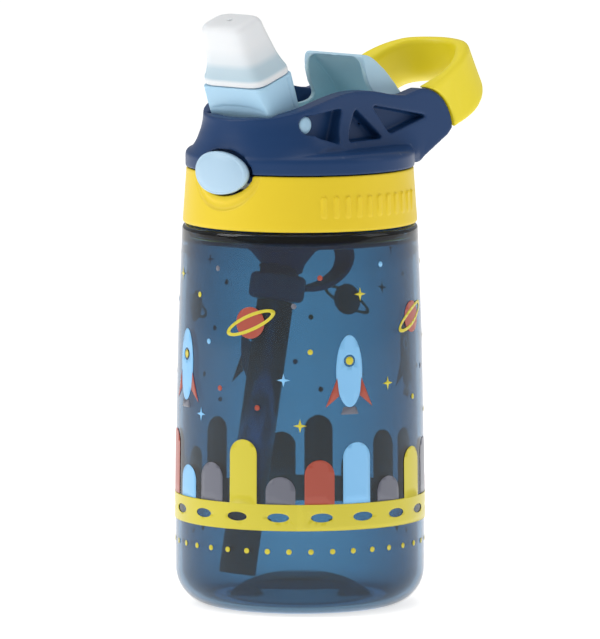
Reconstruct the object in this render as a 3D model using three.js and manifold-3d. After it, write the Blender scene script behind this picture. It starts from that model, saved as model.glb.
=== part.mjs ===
// A child's screw-lid water bottle with a fold-down silicone spout, a hinged spout cover,
// a release button and a carry loop. Millimetres, +Z up. The spout and the button face -Y.
// Heights are measured from the table, and plan positions from the bottle's own axis;
// the last lines move the whole assembly so that its origin is the middle of its footprint.
import * as THREE from 'three';
import { mergeVertices } from 'three/addons/utils/BufferGeometryUtils.js';
import Module from 'manifold-3d';

const wasm = await Module();
wasm.setup();

// ---------------------------------------------------------------- driving dimensions
const GAP = 0.3; // between two pieces that touch
const ROUND = 48; // segments around the bottle's axis
const WALL = 1.8; // bottle wall

const bottleRadius = 36.5;
const bottleCorner = 11; // radius between the side wall and the foot
const shoulderZ = 110;
const shoulderRadius = 34.5;
const neckRadius = 30.9;
const neckTop = 124;
const threadRadius = 31.9; // crest of the bottle's thread
const threadLead = 8; // rise in one whole turn, two starts
const footInner = 20.5; // the flat foot ring runs from here to the corner

const collarBottom = 112.3;
const collarTop = 128.5;
const collarBottomRadius = 34.35;
const collarTopRadius = 33.2;
const collarBore = 32.2;

const gasketInner = 28.9;
const gasketOuter = 31.3;
const gasketThickness = 1.8;
const flangeRadius = 31.8;
const flangeZ = neckTop + GAP + gasketThickness + GAP;
const flangeThickness = 1.6;
const plugRadius = 28.7;
const plugBottom = 107;

const skirtRadius = 33.5; // navy ring of the lid shell, just above the collar
const skirtTop = 134;
const floorBottom = 131.2;
const floorTop = 133.2;
const armOuter = 20.5; // outer face of the truss arms
const armInner = 15.3; // half the width of the recess between them
const noseY = -12; // the arms close in a round nose in front of this line
const junction = { y: 30.5, z: 137, radius: 13.5 }; // round end of each arm

const spoutPivot = { y: -17.4, z: 142.8 };
const spoutTilt = THREE.MathUtils.degToRad(18.7); // leans forward when up
const spoutWidth = 23.8;
const spoutFront = -8.4; // faces of the spout base at its top
const spoutRear = 7;
const spoutBarrel = 6.3; // radius of the round foot of the spout around its pivot
const spoutBaseTop = 13.9; // up the spout from the pivot
const spoutLength = 32.7;
const mouthCentre = (spoutFront + spoutRear) / 2;
const spoutPinRadius = 1.9;
const springSeat = 10; // bottom of the spring's pocket in the spout's right side

const coverHinge = { y: 8.2, z: 142.8 };
const coverHalfWidth = 14.6;
const coverWall = 1.6;
const coverPinRadius = 1.7;

const buttonZ = 129;
const buttonHalfWidth = 10.2;
const buttonHalfHeight = 6.3;
const buttonInner = 33.9; // the cap is a slab of a ring around the bottle's axis
const buttonOuter = 36.1;

const strawTop = { y: -7, z: 107 };
const strawLean = Math.atan2(20, 98); // the straw leans forward as it goes down
const strawRadius = 5.3;
const strawBore = 4.2;
const strawEnd = 98; // along the straw, from under the lid

const loopHalfWidth = 22.3; // widest, low on the back of the loop
const loopCentreY = 46.8;

// ---------------------------------------------------------------- shape helpers
function solid(geometry) {
  const plain = geometry.clone();
  for (const name of Object.keys(plain.attributes)) {
    if (name !== 'position') plain.deleteAttribute(name);
  }
  const merged = mergeVertices(plain, 1e-4);
  const place = merged.getAttribute('position').array;
  const index = merged.index.array;
  const triangles = [];
  let volume = 0;
  const a = new THREE.Vector3();
  const b = new THREE.Vector3();
  const c = new THREE.Vector3();
  for (let i = 0; i < index.length; i += 3) {
    const [p, q, r] = [index[i], index[i + 1], index[i + 2]];
    if (p === q || q === r || r === p) continue;
    triangles.push(p, q, r);
    a.fromArray(place, 3 * p);
    b.fromArray(place, 3 * q);
    c.fromArray(place, 3 * r);
    volume += a.dot(b.cross(c));
  }
  if (volume < 0) triangles.reverse();
  return new wasm.Manifold(
    new wasm.Mesh({
      numProp: 3,
      vertProperties: new Float32Array(place),
      triVerts: new Uint32Array(triangles),
    }),
  );
}

function geometryOf(body) {
  const mesh = body.getMesh();
  const geometry = new THREE.BufferGeometry();
  geometry.setAttribute('position', new THREE.BufferAttribute(mesh.vertProperties, 3));
  geometry.setIndex(new THREE.BufferAttribute(mesh.triVerts, 1));
  return geometry;
}

const joined = (...bodies) => bodies.reduce((whole, body) => whole.add(body));
const cut = (body, ...tools) => tools.reduce((whole, tool) => whole.subtract(tool), body);

// A turned body: profile points are [radius, height].
function turned(profile, x = 0, y = 0, segments = ROUND) {
  const points = profile.map(([r, z]) => new THREE.Vector2(r, z));
  const geometry = new THREE.LatheGeometry(points, segments);
  geometry.rotateX(Math.PI / 2).translate(x, y, 0);
  return solid(geometry);
}

const ring = (inner, outer, z0, z1, y = 0, segments = ROUND) =>
  turned([[inner, z0], [outer, z0], [outer, z1], [inner, z1], [inner, z0]], 0, y, segments);
const disc = (radius, z0, z1, y = 0, segments = ROUND) =>
  turned([[0, z0], [radius, z0], [radius, z1], [0, z1]], 0, y, segments);

function block(x0, x1, y0, y1, z0, z1) {
  const geometry = new THREE.BoxGeometry(x1 - x0, y1 - y0, z1 - z0);
  return solid(geometry.translate((x0 + x1) / 2, (y0 + y1) / 2, (z0 + z1) / 2));
}

// A round bar along X, centred on the line through (y, z).
function crossBar(x0, x1, { y, z }, radius, segments = 24) {
  const geometry = new THREE.CylinderGeometry(radius, radius, x1 - x0, segments);
  return solid(geometry.rotateZ(Math.PI / 2).translate((x0 + x1) / 2, y, z));
}

function extruded(shape, depth, basis) {
  const geometry = new THREE.ExtrudeGeometry(shape, {
    depth,
    bevelEnabled: false,
    curveSegments: 6,
  });
  return solid(geometry.applyMatrix4(basis));
}

// A side outline, points [y, z], made solid from x0 to x1.
function sideways(shape, x0, x1) {
  const basis = new THREE.Matrix4().makeBasis(
    new THREE.Vector3(0, 1, 0),
    new THREE.Vector3(0, 0, 1),
    new THREE.Vector3(1, 0, 0),
  );
  return extruded(shape, x1 - x0, basis.setPosition(x0, 0, 0));
}

// A front outline, points [x, z], made solid from y0 back to y1.
function frontal(shape, y0, y1) {
  const basis = new THREE.Matrix4().makeBasis(
    new THREE.Vector3(1, 0, 0),
    new THREE.Vector3(0, 0, 1),
    new THREE.Vector3(0, -1, 0),
  );
  return extruded(shape, y1 - y0, basis.setPosition(0, y1, 0));
}

// A plan outline, points [x, y], made solid from z0 to z1.
function upright(shape, z0, z1) {
  return extruded(shape, z1 - z0, new THREE.Matrix4().makeTranslation(0, 0, z0));
}

const outline = (points) => new THREE.Shape(points.map(([u, v]) => new THREE.Vector2(u, v)));

function ellipse(cx, cy, a, b) {
  return new THREE.Shape().absellipse(cx, cy, a, b, 0, 2 * Math.PI, false, 0);
}

// A polygon with its corners rounded: points are [u, v, radius].
function rounded(points) {
  const shape = new THREE.Shape();
  const count = points.length;
  points.forEach(([u, v, radius = 0], i) => {
    const corner = new THREE.Vector2(u, v);
    const [pu, pv] = points[(i + count - 1) % count];
    const [nu, nv] = points[(i + 1) % count];
    const toBack = new THREE.Vector2(pu - u, pv - v);
    const toNext = new THREE.Vector2(nu - u, nv - v);
    const reach = Math.min(radius, toBack.length() * 0.45, toNext.length() * 0.45);
    const start = corner.clone().addScaledVector(toBack.normalize(), reach);
    const end = corner.clone().addScaledVector(toNext.normalize(), reach);
    if (i === 0) shape.moveTo(start.x, start.y);
    else shape.lineTo(start.x, start.y);
    if (reach > 0) shape.quadraticCurveTo(u, v, end.x, end.y);
  });
  shape.closePath();
  return shape;
}

// A skin over a stack of rings with the same number of points, closed by two fans.
function lofted(rings) {
  const count = rings[0].length;
  const place = rings.flat().flatMap((p) => [p.x, p.y, p.z]);
  const index = [];
  for (let k = 0; k + 1 < rings.length; k++) {
    for (let i = 0; i < count; i++) {
      const j = (i + 1) % count;
      const [low, high] = [k * count, (k + 1) * count];
      index.push(low + i, low + j, high + j, low + i, high + j, high + i);
    }
  }
  for (const [k, flip] of [[0, true], [rings.length - 1, false]]) {
    const middle = rings[k]
      .reduce((sum, p) => sum.add(p), new THREE.Vector3())
      .divideScalar(count);
    const centre = place.length / 3;
    place.push(middle.x, middle.y, middle.z);
    for (let i = 0; i < count; i++) {
      const [p, q] = [k * count + i, k * count + ((i + 1) % count)];
      index.push(centre, flip ? q : p, flip ? p : q);
    }
  }
  const geometry = new THREE.BufferGeometry();
  geometry.setAttribute('position', new THREE.Float32BufferAttribute(place, 3));
  geometry.setIndex(index);
  return solid(geometry);
}

// A bar of round section along a smooth curve.
function swept(points, radius, steps, sides = 12) {
  const path = new THREE.CatmullRomCurve3(points.map((p) => new THREE.Vector3(...p)));
  const section = outline(
    Array.from({ length: sides }, (_, i) => {
      const angle = (2 * Math.PI * i) / sides;
      return [radius * Math.cos(angle), radius * Math.sin(angle)];
    }),
  );
  return solid(
    new THREE.ExtrudeGeometry(section, { steps, extrudePath: path, bevelEnabled: false }),
  );
}

// Points of a wire coil around the X axis line, with a straight leg at each end.
function torsionCoil(x0, x1, { y, z }, radius, turns, legs) {
  const points = [];
  const steps = Math.round(turns * 10);
  for (let i = 0; i <= steps; i++) {
    const angle = legs[0] + (2 * Math.PI * turns * i) / steps;
    const x = x0 + ((x1 - x0) * i) / steps;
    points.push([x, y + radius * Math.cos(angle), z + radius * Math.sin(angle)]);
  }
  const last = legs[0] + 2 * Math.PI * turns;
  const leg = legs[1];
  points.unshift([
    x0,
    y + radius * Math.cos(legs[0]) + leg * Math.sin(legs[0]),
    z + radius * Math.sin(legs[0]) - leg * Math.cos(legs[0]),
  ]);
  points.push([
    x1,
    y + radius * Math.cos(last) - leg * Math.sin(last),
    z + radius * Math.sin(last) + leg * Math.cos(last),
  ]);
  return points;
}

// Two helical ridges on a cylinder, as on any screw lid: root and crest are radii.
function threadRidges(root, crest, z0, span, firstAngle) {
  const ridges = [];
  const steps = Math.round(span * 6);
  const flank = 0.75; // half the ridge's thickness at its root
  for (const start of [0, Math.PI]) {
    const rings = [];
    for (let i = 0; i <= steps; i++) {
      const t = i / steps;
      const angle = firstAngle + start + span * t;
      const z = z0 + (threadLead * span * t) / (2 * Math.PI);
      const fade = Math.min(1, Math.min(t, 1 - t) * 10 + 0.15);
      const tip = root + (crest - root) * fade;
      const embed = root - 0.4 * Math.sign(crest - root);
      const section = [[embed, -flank], [tip, -0.35], [tip, 0.35], [embed, flank]];
      rings.push(
        section.map(([r, dz]) =>
          new THREE.Vector3(r * Math.cos(angle), r * Math.sin(angle), z + dz),
        ),
      );
    }
    ridges.push(lofted(rings));
  }
  return joined(...ridges);
}

const arcPoints = (cx, cy, radius, from, to, steps) =>
  Array.from({ length: steps + 1 }, (_, i) => {
    const angle = THREE.MathUtils.degToRad(from + ((to - from) * i) / steps);
    return [cx + radius * Math.cos(angle), cy + radius * Math.sin(angle)];
  });

// ---------------------------------------------------------------- the bottle
function bottleBody() {
  const foot = bottleRadius - bottleCorner;
  const inside = bottleCorner - WALL;
  const body = turned([
    [0, 6.5],
    [9, 6.5],
    [13.5, 5.4],
    [17.5, 2.6],
    [footInner, 0],
    ...arcPoints(foot, bottleCorner, bottleCorner, -90, 0, 6),
    [36.5, 30],
    [36.2, 58],
    [35.7, 80],
    [34.7, 106],
    [shoulderRadius, shoulderZ],
    [33.6, 111.4],
    [neckRadius, 111.9],
    [neckRadius, neckTop - 0.5],
    [neckRadius - 0.5, neckTop],
    [neckRadius - WALL, neckTop],
    [neckRadius - WALL, 111.2],
    [31.4, 109.6],
    [32.7, 107],
    [33.9, 80],
    [34.4, 58],
    [34.7, 30],
    ...arcPoints(foot, bottleCorner, inside, 0, -90, 5),
    [footInner + 0.8, WALL],
    [18.6, 4.4],
    [14.2, 7.2],
    [9, 8.3],
    [0, 8.3],
  ]);
  return joined(body, threadRidges(neckRadius, threadRadius, 114.2, 3.6, 0));
}

// ---------------------------------------------------------------- the screw lid
const rimPocket = (grow, y1) =>
  frontal(ellipse(0, buttonZ, buttonHalfWidth + grow, buttonHalfHeight + grow), -42, y1);

function screwCollar() {
  const collar = turned([
    [collarBore, collarBottom],
    [collarBottomRadius - 0.5, collarBottom],
    [collarBottomRadius, collarBottom + 0.6],
    [collarTopRadius, collarTop],
    [collarBore, collarTop],
    [collarBore, collarBottom],
  ]);
  const ridges = threadRidges(collarBore, threadRadius - 0.7, 116.2, 2.4, 0);
  return cut(joined(collar, ridges), rimPocket(0.5, -26));
}

const lidGasket = () => ring(gasketInner, gasketOuter, neckTop + GAP, neckTop + GAP + gasketThickness);

const spoutHole = (radius, z0, z1) => disc(radius, z0, z1, spoutPivot.y, 24);

function lidBase() {
  const flangeTop = flangeZ + flangeThickness;
  const cup = turned([
    [0, plugBottom],
    [plugRadius - 1.2, plugBottom],
    [plugRadius, plugBottom + 1.2],
    [plugRadius, flangeZ],
    [flangeRadius, flangeZ],
    [flangeRadius, flangeTop],
    [plugRadius - 2.2, flangeTop],
    [plugRadius - 2.2, plugBottom + 2],
    [0, plugBottom + 2],
  ]);
  const strawPort = disc(3.6, plugBottom - 1, plugBottom + 3, strawTop.y, 24);
  const ventPort = disc(2.5, plugBottom - 1, plugBottom + 3, 17, 24);
  return cut(cup, strawPort, ventPort);
}

function flowTube() {
  const route = [
    [0, strawTop.y, plugBottom + 2 + GAP],
    [0, strawTop.y, 114],
    [0, -11.5, 120],
    [0, -18, 125],
    [0, spoutPivot.y, 130],
    [0, spoutPivot.y, 134],
  ];
  const bore = route.map((p, i) => [p[0], p[1], p[2] + (i === 0 ? -1 : i === 5 ? 1 : 0)]);
  return cut(swept(route, 4.4, 14, 16), swept(bore, 3.2, 14, 12));
}

const seatSeal = () => ring(3.2, 5, 134 + GAP, spoutPivot.z - spoutBarrel - 2 * GAP, spoutPivot.y, 24);

// Plan outline of the raised part of the lid: straight arms that close in a round nose.
// The nose is wider than the arms by flare, which fades out behind noseY.
function nosePoints(halfWidth, front, power, rear, z, flare = 0) {
  const reach = noseY - front;
  const wide = halfWidth + flare;
  const points = [];
  const steps = 14;
  for (let i = 0; i <= steps; i++) {
    const t = -Math.PI / 2 + (Math.PI * i) / steps;
    const u = Math.sign(Math.sin(t)) * Math.abs(Math.sin(t)) ** (2 / power);
    const v = Math.abs(Math.cos(t)) ** (2 / power);
    points.push(new THREE.Vector3(wide * u, noseY - reach * v, z));
  }
  const side = [4, 8, 12, 16].map((back) => {
    const fade = THREE.MathUtils.smoothstep(back, 0, 16);
    return [halfWidth + flare * (1 - fade), noseY + back];
  });
  side.push([halfWidth, rear]);
  for (const [x, y] of side) points.push(new THREE.Vector3(x, y, z));
  for (const [x, y] of side.reverse()) points.push(new THREE.Vector3(-x, y, z));
  return points;
}

// Side outline of an arm: a low nose, a long crest, and a round end for the loop.
function armProfile(grow = 0) {
  const { y, z, radius } = junction;
  return outline([
    [-34, 131.5],
    [-34, 144.3],
    [-30.5, 144.6],
    [-26, 145.5],
    [-19, 147.3],
    [-10, 149.7],
    [0, 151.4],
    [9, 151.1],
    [18, 149.5],
    [24, 149],
    ...arcPoints(y, z, radius + grow, 90, 5, 10),
    [42.2, 135.9],
    [32.5, 129.4],
    [27, 129.1],
    [25, 131.5],
  ]);
}

const trussWindows = [
  [[-18.2, 145.4, 1.5], [-3.8, 147, 1.5], [-7.2, 136.6, 1.2], [-16.3, 139.4, 1.5]],
  [[1.6, 146.6, 1.5], [13.6, 137, 1.2], [-2.4, 137, 1.2]],
  [[8.9, 147, 1.5], [33.4, 142.4, 1.5], [16.7, 138, 1.2]],
];

function loopTenon(side, grow) {
  const [inner, outer] = [16.4 - grow, 19.2 + grow];
  const [x0, x1] = side > 0 ? [inner, outer] : [-outer, -inner];
  return block(x0, x1, 37 - grow, 45, 140 - grow, 144.5 + grow);
}

// The spout's foot seen from the side: straight above, round around its pivot.
function spoutSide(grow, top) {
  return outline([
    [spoutFront - grow, top],
    [-7.1 - grow, 5.5],
    ...arcPoints(0, 0, spoutBarrel + grow, 180, 360, 16),
    [spoutBarrel + grow, 5],
    [spoutRear + grow, top],
  ]);
}

function spoutClearance() {
  const { y, z } = spoutPivot;
  const grow = 0.7;
  const side = spoutSide(grow, spoutBaseTop + 8);
  const placed = new THREE.Matrix4().makeRotationX(spoutTilt).setPosition(0, y, z);
  const half = spoutWidth / 2 + grow;
  const blank = geometryOf(sideways(side, -half, half)).applyMatrix4(placed);
  return solid(blank);
}

function lidShell() {
  const skirt = turned([
    [0, floorBottom],
    [31.4, floorBottom],
    [31.4, collarTop + GAP],
    [skirtRadius, collarTop + GAP],
    [skirtRadius, skirtTop - 1.2],
    [skirtRadius - 1.2, skirtTop],
    [30, skirtTop + 0.6],
    [0, skirtTop + 0.6],
  ]);
  const flare = lofted([
    nosePoints(armOuter, -33, 2, 46, collarTop + GAP, 7),
    nosePoints(armOuter, -33, 2, 46, 131.6, 7),
    nosePoints(armOuter, -32.8, 2, 46, skirtTop, 5.8),
    nosePoints(armOuter, -32.2, 2, 46, 137, 3),
    nosePoints(armOuter, -31.6, 2, 46, 141, 1),
    nosePoints(armOuter, -31.3, 2, 46, 145, 0.1),
    nosePoints(armOuter, -31.3, 2, 46, 156, 0.1),
  ]);
  const arms = flare.intersect(sideways(armProfile(), -23, 23));
  const recess = lofted([
    nosePoints(armInner, -27.8, 2.4, 30.2, floorTop),
    nosePoints(armInner, -27.8, 2.4, 30.2, 160),
  ]);
  const windows = [];
  const windowFloor = armOuter - 3.6;
  for (const points of trussWindows) {
    windows.push(sideways(rounded(points), windowFloor, 26));
    windows.push(sideways(rounded(points), -26, -windowFloor));
  }
  const behindWall = block(-armInner, armInner, 33.6, 50, 120, 160);
  const wallTop = block(-armInner, armInner, 29, 34, 144, 160);
  const spoutBoreRadius = spoutPinRadius + GAP;
  return cut(
    joined(skirt, arms),
    recess,
    behindWall,
    wallTop,
    ...windows,
    spoutClearance(),
    rimPocket(0.5, -29.5),
    block(-6.5, 6.5, -33, -28, collarTop, floorBottom),
    spoutHole(4.8, 129, 136),
    block(-3.5, 3.5, -6.8, 0.4, 129, 136),
    crossBar(-24, 24, spoutPivot, spoutBoreRadius),
    crossBar(16.4, 24, spoutPivot, 2.9),
    crossBar(-24, -16.4, spoutPivot, 2.9),
    crossBar(-18.2, 18.2, coverHinge, coverPinRadius + GAP),
    loopTenon(1, GAP),
    loopTenon(-1, GAP),
  );
}

function spoutPin(side) {
  const shaft = crossBar(10.2, 17, spoutPivot, spoutPinRadius);
  const head = crossBar(16.7, 18.6, spoutPivot, 2.6);
  const pin = joined(shaft, head);
  return side > 0 ? pin : pin.mirror([1, 0, 0]);
}

function coverPin(side) {
  const pin = joined(
    crossBar(9.9, 18, coverHinge, coverPinRadius),
    crossBar(9.3, 10, coverHinge, 2.2),
  );
  return side > 0 ? pin : pin.mirror([1, 0, 0]);
}

// Section of the loop where its line is at y: corners [distance from the middle plane or
// from the centre of the bend, z]. The band leans inwards more and more towards the back.
const loopSections = [
  // y, outer bottom, outer top, inner top, inner bottom
  [29, [20.9, 138.5], [20.9, 148.4], [15.6, 147.6], [15.6, 138.9]],
  [36, [20.9, 138.5], [20.7, 151], [15.6, 149.2], [15.6, 138.9]],
  [40, [20.9, 138.2], [20.5, 152.8], [15.5, 150.8], [15.6, 140.2]],
  [44, [21.1, 138.2], [20, 154.6], [15.3, 152.4], [15.8, 141.8]],
  [49, [21.5, 139.9], [19, 156.8], [14.8, 155], [16, 144.6]],
  [54, [21.9, 142], [18, 158.6], [14.2, 157.4], [16.2, 147.4]],
  [60, [22.3, 144.4], [17, 160], [13.6, 159.4], [16.5, 149.4]],
  [66, [22.3, 146.4], [16.5, 160.5], [13.2, 160.2], [16.7, 150]],
];

function loopSection(y) {
  const next = Math.max(1, loopSections.findIndex((row) => row[0] >= y));
  const [low, high] = [loopSections[next - 1], loopSections[next]];
  const t = (y - low[0]) / (high[0] - low[0]);
  return [1, 2, 3, 4].map((k) => low[k].map((value, i) => value + (high[k][i] - value) * t));
}

function carryLoop() {
  const { y: junctionY, z: junctionZ, radius } = junction;
  const middle = 18.8; // radius of the line that the sections are spaced along
  const stations = [];
  for (const y of [29, 36, 40, 44]) stations.push([y, 0]);
  const bend = 12;
  for (let i = 0; i <= bend; i++) {
    const angle = (Math.PI * i) / bend;
    stations.push([Math.min(66, loopCentreY + middle * Math.sin(angle)), angle]);
  }
  for (const y of [44, 40, 36, 29]) stations.push([y, Math.PI]);
  const rings = stations.map(([y, angle]) => {
    const straight = y <= 44;
    const originY = straight ? y : loopCentreY;
    const [c, s] = [Math.cos(angle), straight ? 0 : Math.sin(angle)];
    const corners = loopSection(y);
    const ring = [];
    corners.forEach(([r, z], k) => {
      const around = [corners[(k + 3) % 4], corners[(k + 1) % 4]];
      for (const [nr, nz] of around) {
        const span = Math.hypot(nr - r, nz - z);
        const t = Math.min(1.3, span * 0.4) / span;
        const [pr, pz] = [r + (nr - r) * t, z + (nz - z) * t];
        ring.push(new THREE.Vector3(pr * c, originY + pr * s, pz));
      }
    });
    return ring;
  });
  const socket = crossBar(-24, 24, { y: junctionY, z: junctionZ }, radius + GAP, 72);
  return joined(lofted(rings).subtract(socket), loopTenon(1, 0), loopTenon(-1, 0));
}

// ---------------------------------------------------------------- the spout, upright at its pivot
function spoutBase() {
  const side = spoutSide(0, spoutBaseTop);
  const half = spoutWidth / 2;
  const plan = rounded([
    [-half, spoutFront, 3],
    [half, spoutFront, 3],
    [half, spoutRear, 3],
    [-half, spoutRear, 3],
  ]);
  const foot = sideways(side, -half, half).intersect(upright(plan, -10, 20));
  const spigot = upright(ellipse(0, mouthCentre, 7.6, 4.4), spoutBaseTop - 1, spoutBaseTop + 6);
  const bore = disc(2.6, -12, 24, 0, 20);
  const pivot = { y: 0, z: 0 };
  return cut(
    joined(foot, spigot),
    bore,
    crossBar(-half - 1, -9.9, pivot, spoutPinRadius + GAP),
    crossBar(9.9, half + 1, pivot, spoutPinRadius + GAP),
    crossBar(springSeat, half + 1, pivot, 4.2),
  );
}

// Rounded-rectangle ring of the silicone mouthpiece, a superellipse. The rings step
// forward by lean towards the tip.
function mouthRing(a, b, z, power = 3.2, lean = 0) {
  return Array.from({ length: 32 }, (_, i) => {
    const t = (2 * Math.PI * i) / 32;
    const u = Math.sign(Math.cos(t)) * Math.abs(Math.cos(t)) ** (2 / power);
    const v = Math.sign(Math.sin(t)) * Math.abs(Math.sin(t)) ** (2 / power);
    return new THREE.Vector3(a * u, mouthCentre - lean + b * v, z);
  });
}

function spoutMouthpiece() {
  const bottom = spoutBaseTop + GAP;
  const outer = lofted([
    mouthRing(11.9, 7.7, bottom, 5),
    mouthRing(11.9, 7.7, bottom + 2.1, 5),
    mouthRing(10.1, 7.1, 20, 4, 0.1),
    mouthRing(9.3, 6.7, 24.5, 4, 0.5),
    mouthRing(8.7, 6.3, 28, 4, 0.9),
    mouthRing(8.4, 6, 31.2, 4, 1.3),
    mouthRing(7.3, 4.9, spoutLength, 3.5, 1.4),
  ]);
  const socket = lofted([
    mouthRing(7.9, 4.7, bottom - 1, 2),
    mouthRing(7.9, 4.7, spoutBaseTop + 6.3, 2),
  ]);
  const cavity = lofted([
    mouthRing(6.4, 3.6, spoutBaseTop + 6, 2),
    mouthRing(5.4, 3.2, 25, 2, 0.5),
    mouthRing(5, 3, spoutLength - 2.5, 2, 1.2),
  ]);
  const sip = disc(1.6, spoutLength - 4, spoutLength + 2, mouthCentre - 1.4, 16);
  return cut(outer, socket, cavity, sip);
}

const spoutSpring = () =>
  swept(torsionCoil(springSeat + 0.4, 11.2, spoutPivot, 3.1, 1, [2, 0.4]), 0.2, 24, 6);

// ---------------------------------------------------------------- the spout cover, open
function flipCover() {
  const { y, z } = coverHinge;
  const outer = rounded([
    [14.3, 160.8, 1],
    [17.4, 160.4, 3],
    [24.6, 154.8, 4],
    [31, 147.4, 4],
    [28.8, 140.6, 6],
    [17.5, 134.3, 4],
    [9, 134.6, 3],
    [y - 3.9, z - 3.4, 3.6],
    [y - 3.6, z + 3.9, 3.6],
    [12.5, 146.4, 3],
    [18.4, 147.6, 3],
    [15.2, 153.6, 5],
  ]);
  const inner = rounded([
    [6, 164],
    [13.6, 164],
    [14.4, 160.2, 2],
    [17, 158.6, 2],
    [23.6, 153.5, 4],
    [29.2, 147, 4],
    [27.2, 141.6, 5],
    [17, 136, 3],
    [-4, 136],
    [-4, 160.4],
  ]);
  const width = (inset) =>
    rounded([
      [-coverHalfWidth + inset, 130],
      [coverHalfWidth - inset, 130],
      [coverHalfWidth - inset, 145.2, 2],
      [12.6 - inset, 149, 3],
      [11.8 - inset, 170],
      [-11.8 + inset, 170],
      [-12.6 + inset, 149, 3],
      [-coverHalfWidth + inset, 145.2, 2],
    ]);
  const shell = sideways(outer, -16, 16).intersect(frontal(width(0), -10, 40));
  const hollow = sideways(inner, -15, 15).intersect(frontal(width(coverWall), -10, 40));
  return cut(
    shell,
    hollow,
    crossBar(-16, 16, coverHinge, coverPinRadius + GAP),
    block(-3, 3, 5, 14, 133, 137),
  );
}

const coverSpring = () =>
  swept(torsionCoil(10.5, 12.4, coverHinge, 2.5, 2, [0.4, 2.2]), 0.3, 40, 6);

// ---------------------------------------------------------------- the release button
function buttonCap() {
  const slab = ring(buttonInner, buttonOuter, buttonZ - 12, buttonZ + 12, 0, 96);
  const oval = frontal(ellipse(0, buttonZ, buttonHalfWidth, buttonHalfHeight), -42, -20);
  const crown = turned([
    [0, buttonZ - 12],
    [buttonOuter - 1.3, buttonZ - 12],
    [buttonOuter - 0.4, buttonZ - 4.5],
    [buttonOuter, buttonZ],
    [buttonOuter - 0.4, buttonZ + 4.5],
    [buttonOuter - 1.3, buttonZ + 12],
    [0, buttonZ + 12],
  ], 0, 0, 96);
  const stem = block(-5.5, 5.5, -34.4, -30.1, 128.9, 130.3);
  return joined(slab.intersect(oval).intersect(crown), stem);
}

function latchSlider() {
  const [z0, z1] = [128.6, 130.4];
  return joined(
    block(-7, 7, -29.8, -27.4, z0, z1),
    block(-7, -5.1, -28, -2, z0, z1),
    block(5.1, 7, -28, -2, z0, z1),
    block(-7, 7, -5.4, -2, z0, z1),
    block(-2.6, 2.6, -5.4, -3.4, z0, 135.4),
  );
}

function buttonSpring() {
  const points = [];
  const [turns, perTurn, coilRadius] = [5, 8, 1];
  for (let i = 0; i <= turns * perTurn; i++) {
    const angle = (2 * Math.PI * i) / perTurn;
    const y = -1.3 + (7 * i) / (turns * perTurn);
    points.push([coilRadius * Math.cos(angle), y, 129.6 + coilRadius * Math.sin(angle)]);
  }
  return swept(points, 0.22, 50, 5);
}

// ---------------------------------------------------------------- what hangs inside the bottle
function alongStraw(body) {
  const placed = new THREE.Matrix4().makeRotationX(-strawLean);
  return solid(geometryOf(body).applyMatrix4(placed.setPosition(0, strawTop.y, strawTop.z)));
}

function strawConnector() {
  const funnel = turned([
    [0, 106.7],
    [10.4, 106.7],
    [10.2, 105.4],
    [7.9, 102.8],
    [6, 100.2],
    [5.4, 97.5],
    [0, 97.5],
  ], 0, strawTop.y, 32);
  const sleeve = alongStraw(
    turned([
      [0, -27],
      [3.9, -27],
      [3.9, -17.3],
      [7.2, -17.3],
      [8.1, -16.2],
      [8.1, -10.8],
      [7.2, -9.7],
      [5.7, -9.7],
      [5.7, -4],
      [0, -4],
    ], 0, 0, 32),
  );
  const bore = joined(
    disc(3, 100, 108, strawTop.y, 20),
    alongStraw(disc(2.9, -30, -4, 0, 20)),
  );
  return cut(joined(funnel, sleeve), bore);
}

function strawTube() {
  const tube = ring(strawBore, strawRadius, -strawEnd, -17.6, 0, 28);
  return alongStraw(cut(tube, block(-0.9, 0.9, -8, 8, -strawEnd - 1, -strawEnd + 3)));
}

const ventValve = () =>
  turned([
    [0.9, 105.2],
    [2.1, 105.2],
    [3.6, 106.7],
    [2.2, 106.7],
    [2.2, 109.3],
    [3.2, 109.3],
    [2.8, 110.4],
    [0.9, 110.4],
    [0.9, 105.2],
  ], 0, 17, 24);

// A soft strap from under the lid down to the ring on the straw's connector.
function ventTether() {
  const line = new THREE.CatmullRomCurve3(
    [
      [18.5, 104.6],
      [19.3, 101],
      [17.3, 96.6],
      [12, 93.6],
      [6, 92.4],
      [0.2, 92.6],
    ].map(([y, z]) => new THREE.Vector3(0, y, z)),
  );
  const rings = [];
  for (let i = 0; i <= 18; i++) {
    const t = i / 18;
    const at = line.getPoint(t);
    const along = line.getTangent(t);
    const side = new THREE.Vector3(0, -along.z, along.y);
    const half = 3.6 - 1.2 * t;
    rings.push(
      [[-half, -0.9], [half, -0.9], [half, 0.9], [-half, 0.9]].map(([x, d]) =>
        new THREE.Vector3(x, 0, 0).add(at).addScaledVector(side, d),
      ),
    );
  }
  return lofted(rings);
}

// ---------------------------------------------------------------- colours and assembly
const finish = {
  tritan: ['#3C739B', 0.12],
  navy: ['#26456F', 0.5],
  yellow: ['#E6CD32', 0.45],
  loopYellow: ['#E9DC2F', 0.45],
  sky: ['#A9D0E6', 0.4],
  silicone: ['#EFEFF0', 0.55],
  steel: ['#B8BCC0', 0.3, 1],
  strawClear: ['#DCE6EE', 0.3],
};

function piece(name, body, [color, roughness, metalness = 0]) {
  const material = new THREE.MeshStandardMaterial({ color, roughness, metalness });
  const mesh = new THREE.Mesh(geometryOf(body), material);
  mesh.name = name;
  return mesh;
}

const spout = new THREE.Group();
spout.position.set(0, spoutPivot.y, spoutPivot.z);
spout.rotation.x = spoutTilt;
spout.add(
  piece('spout_base', spoutBase(), finish.sky),
  piece('spout_mouthpiece', spoutMouthpiece(), finish.silicone),
);

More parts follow.
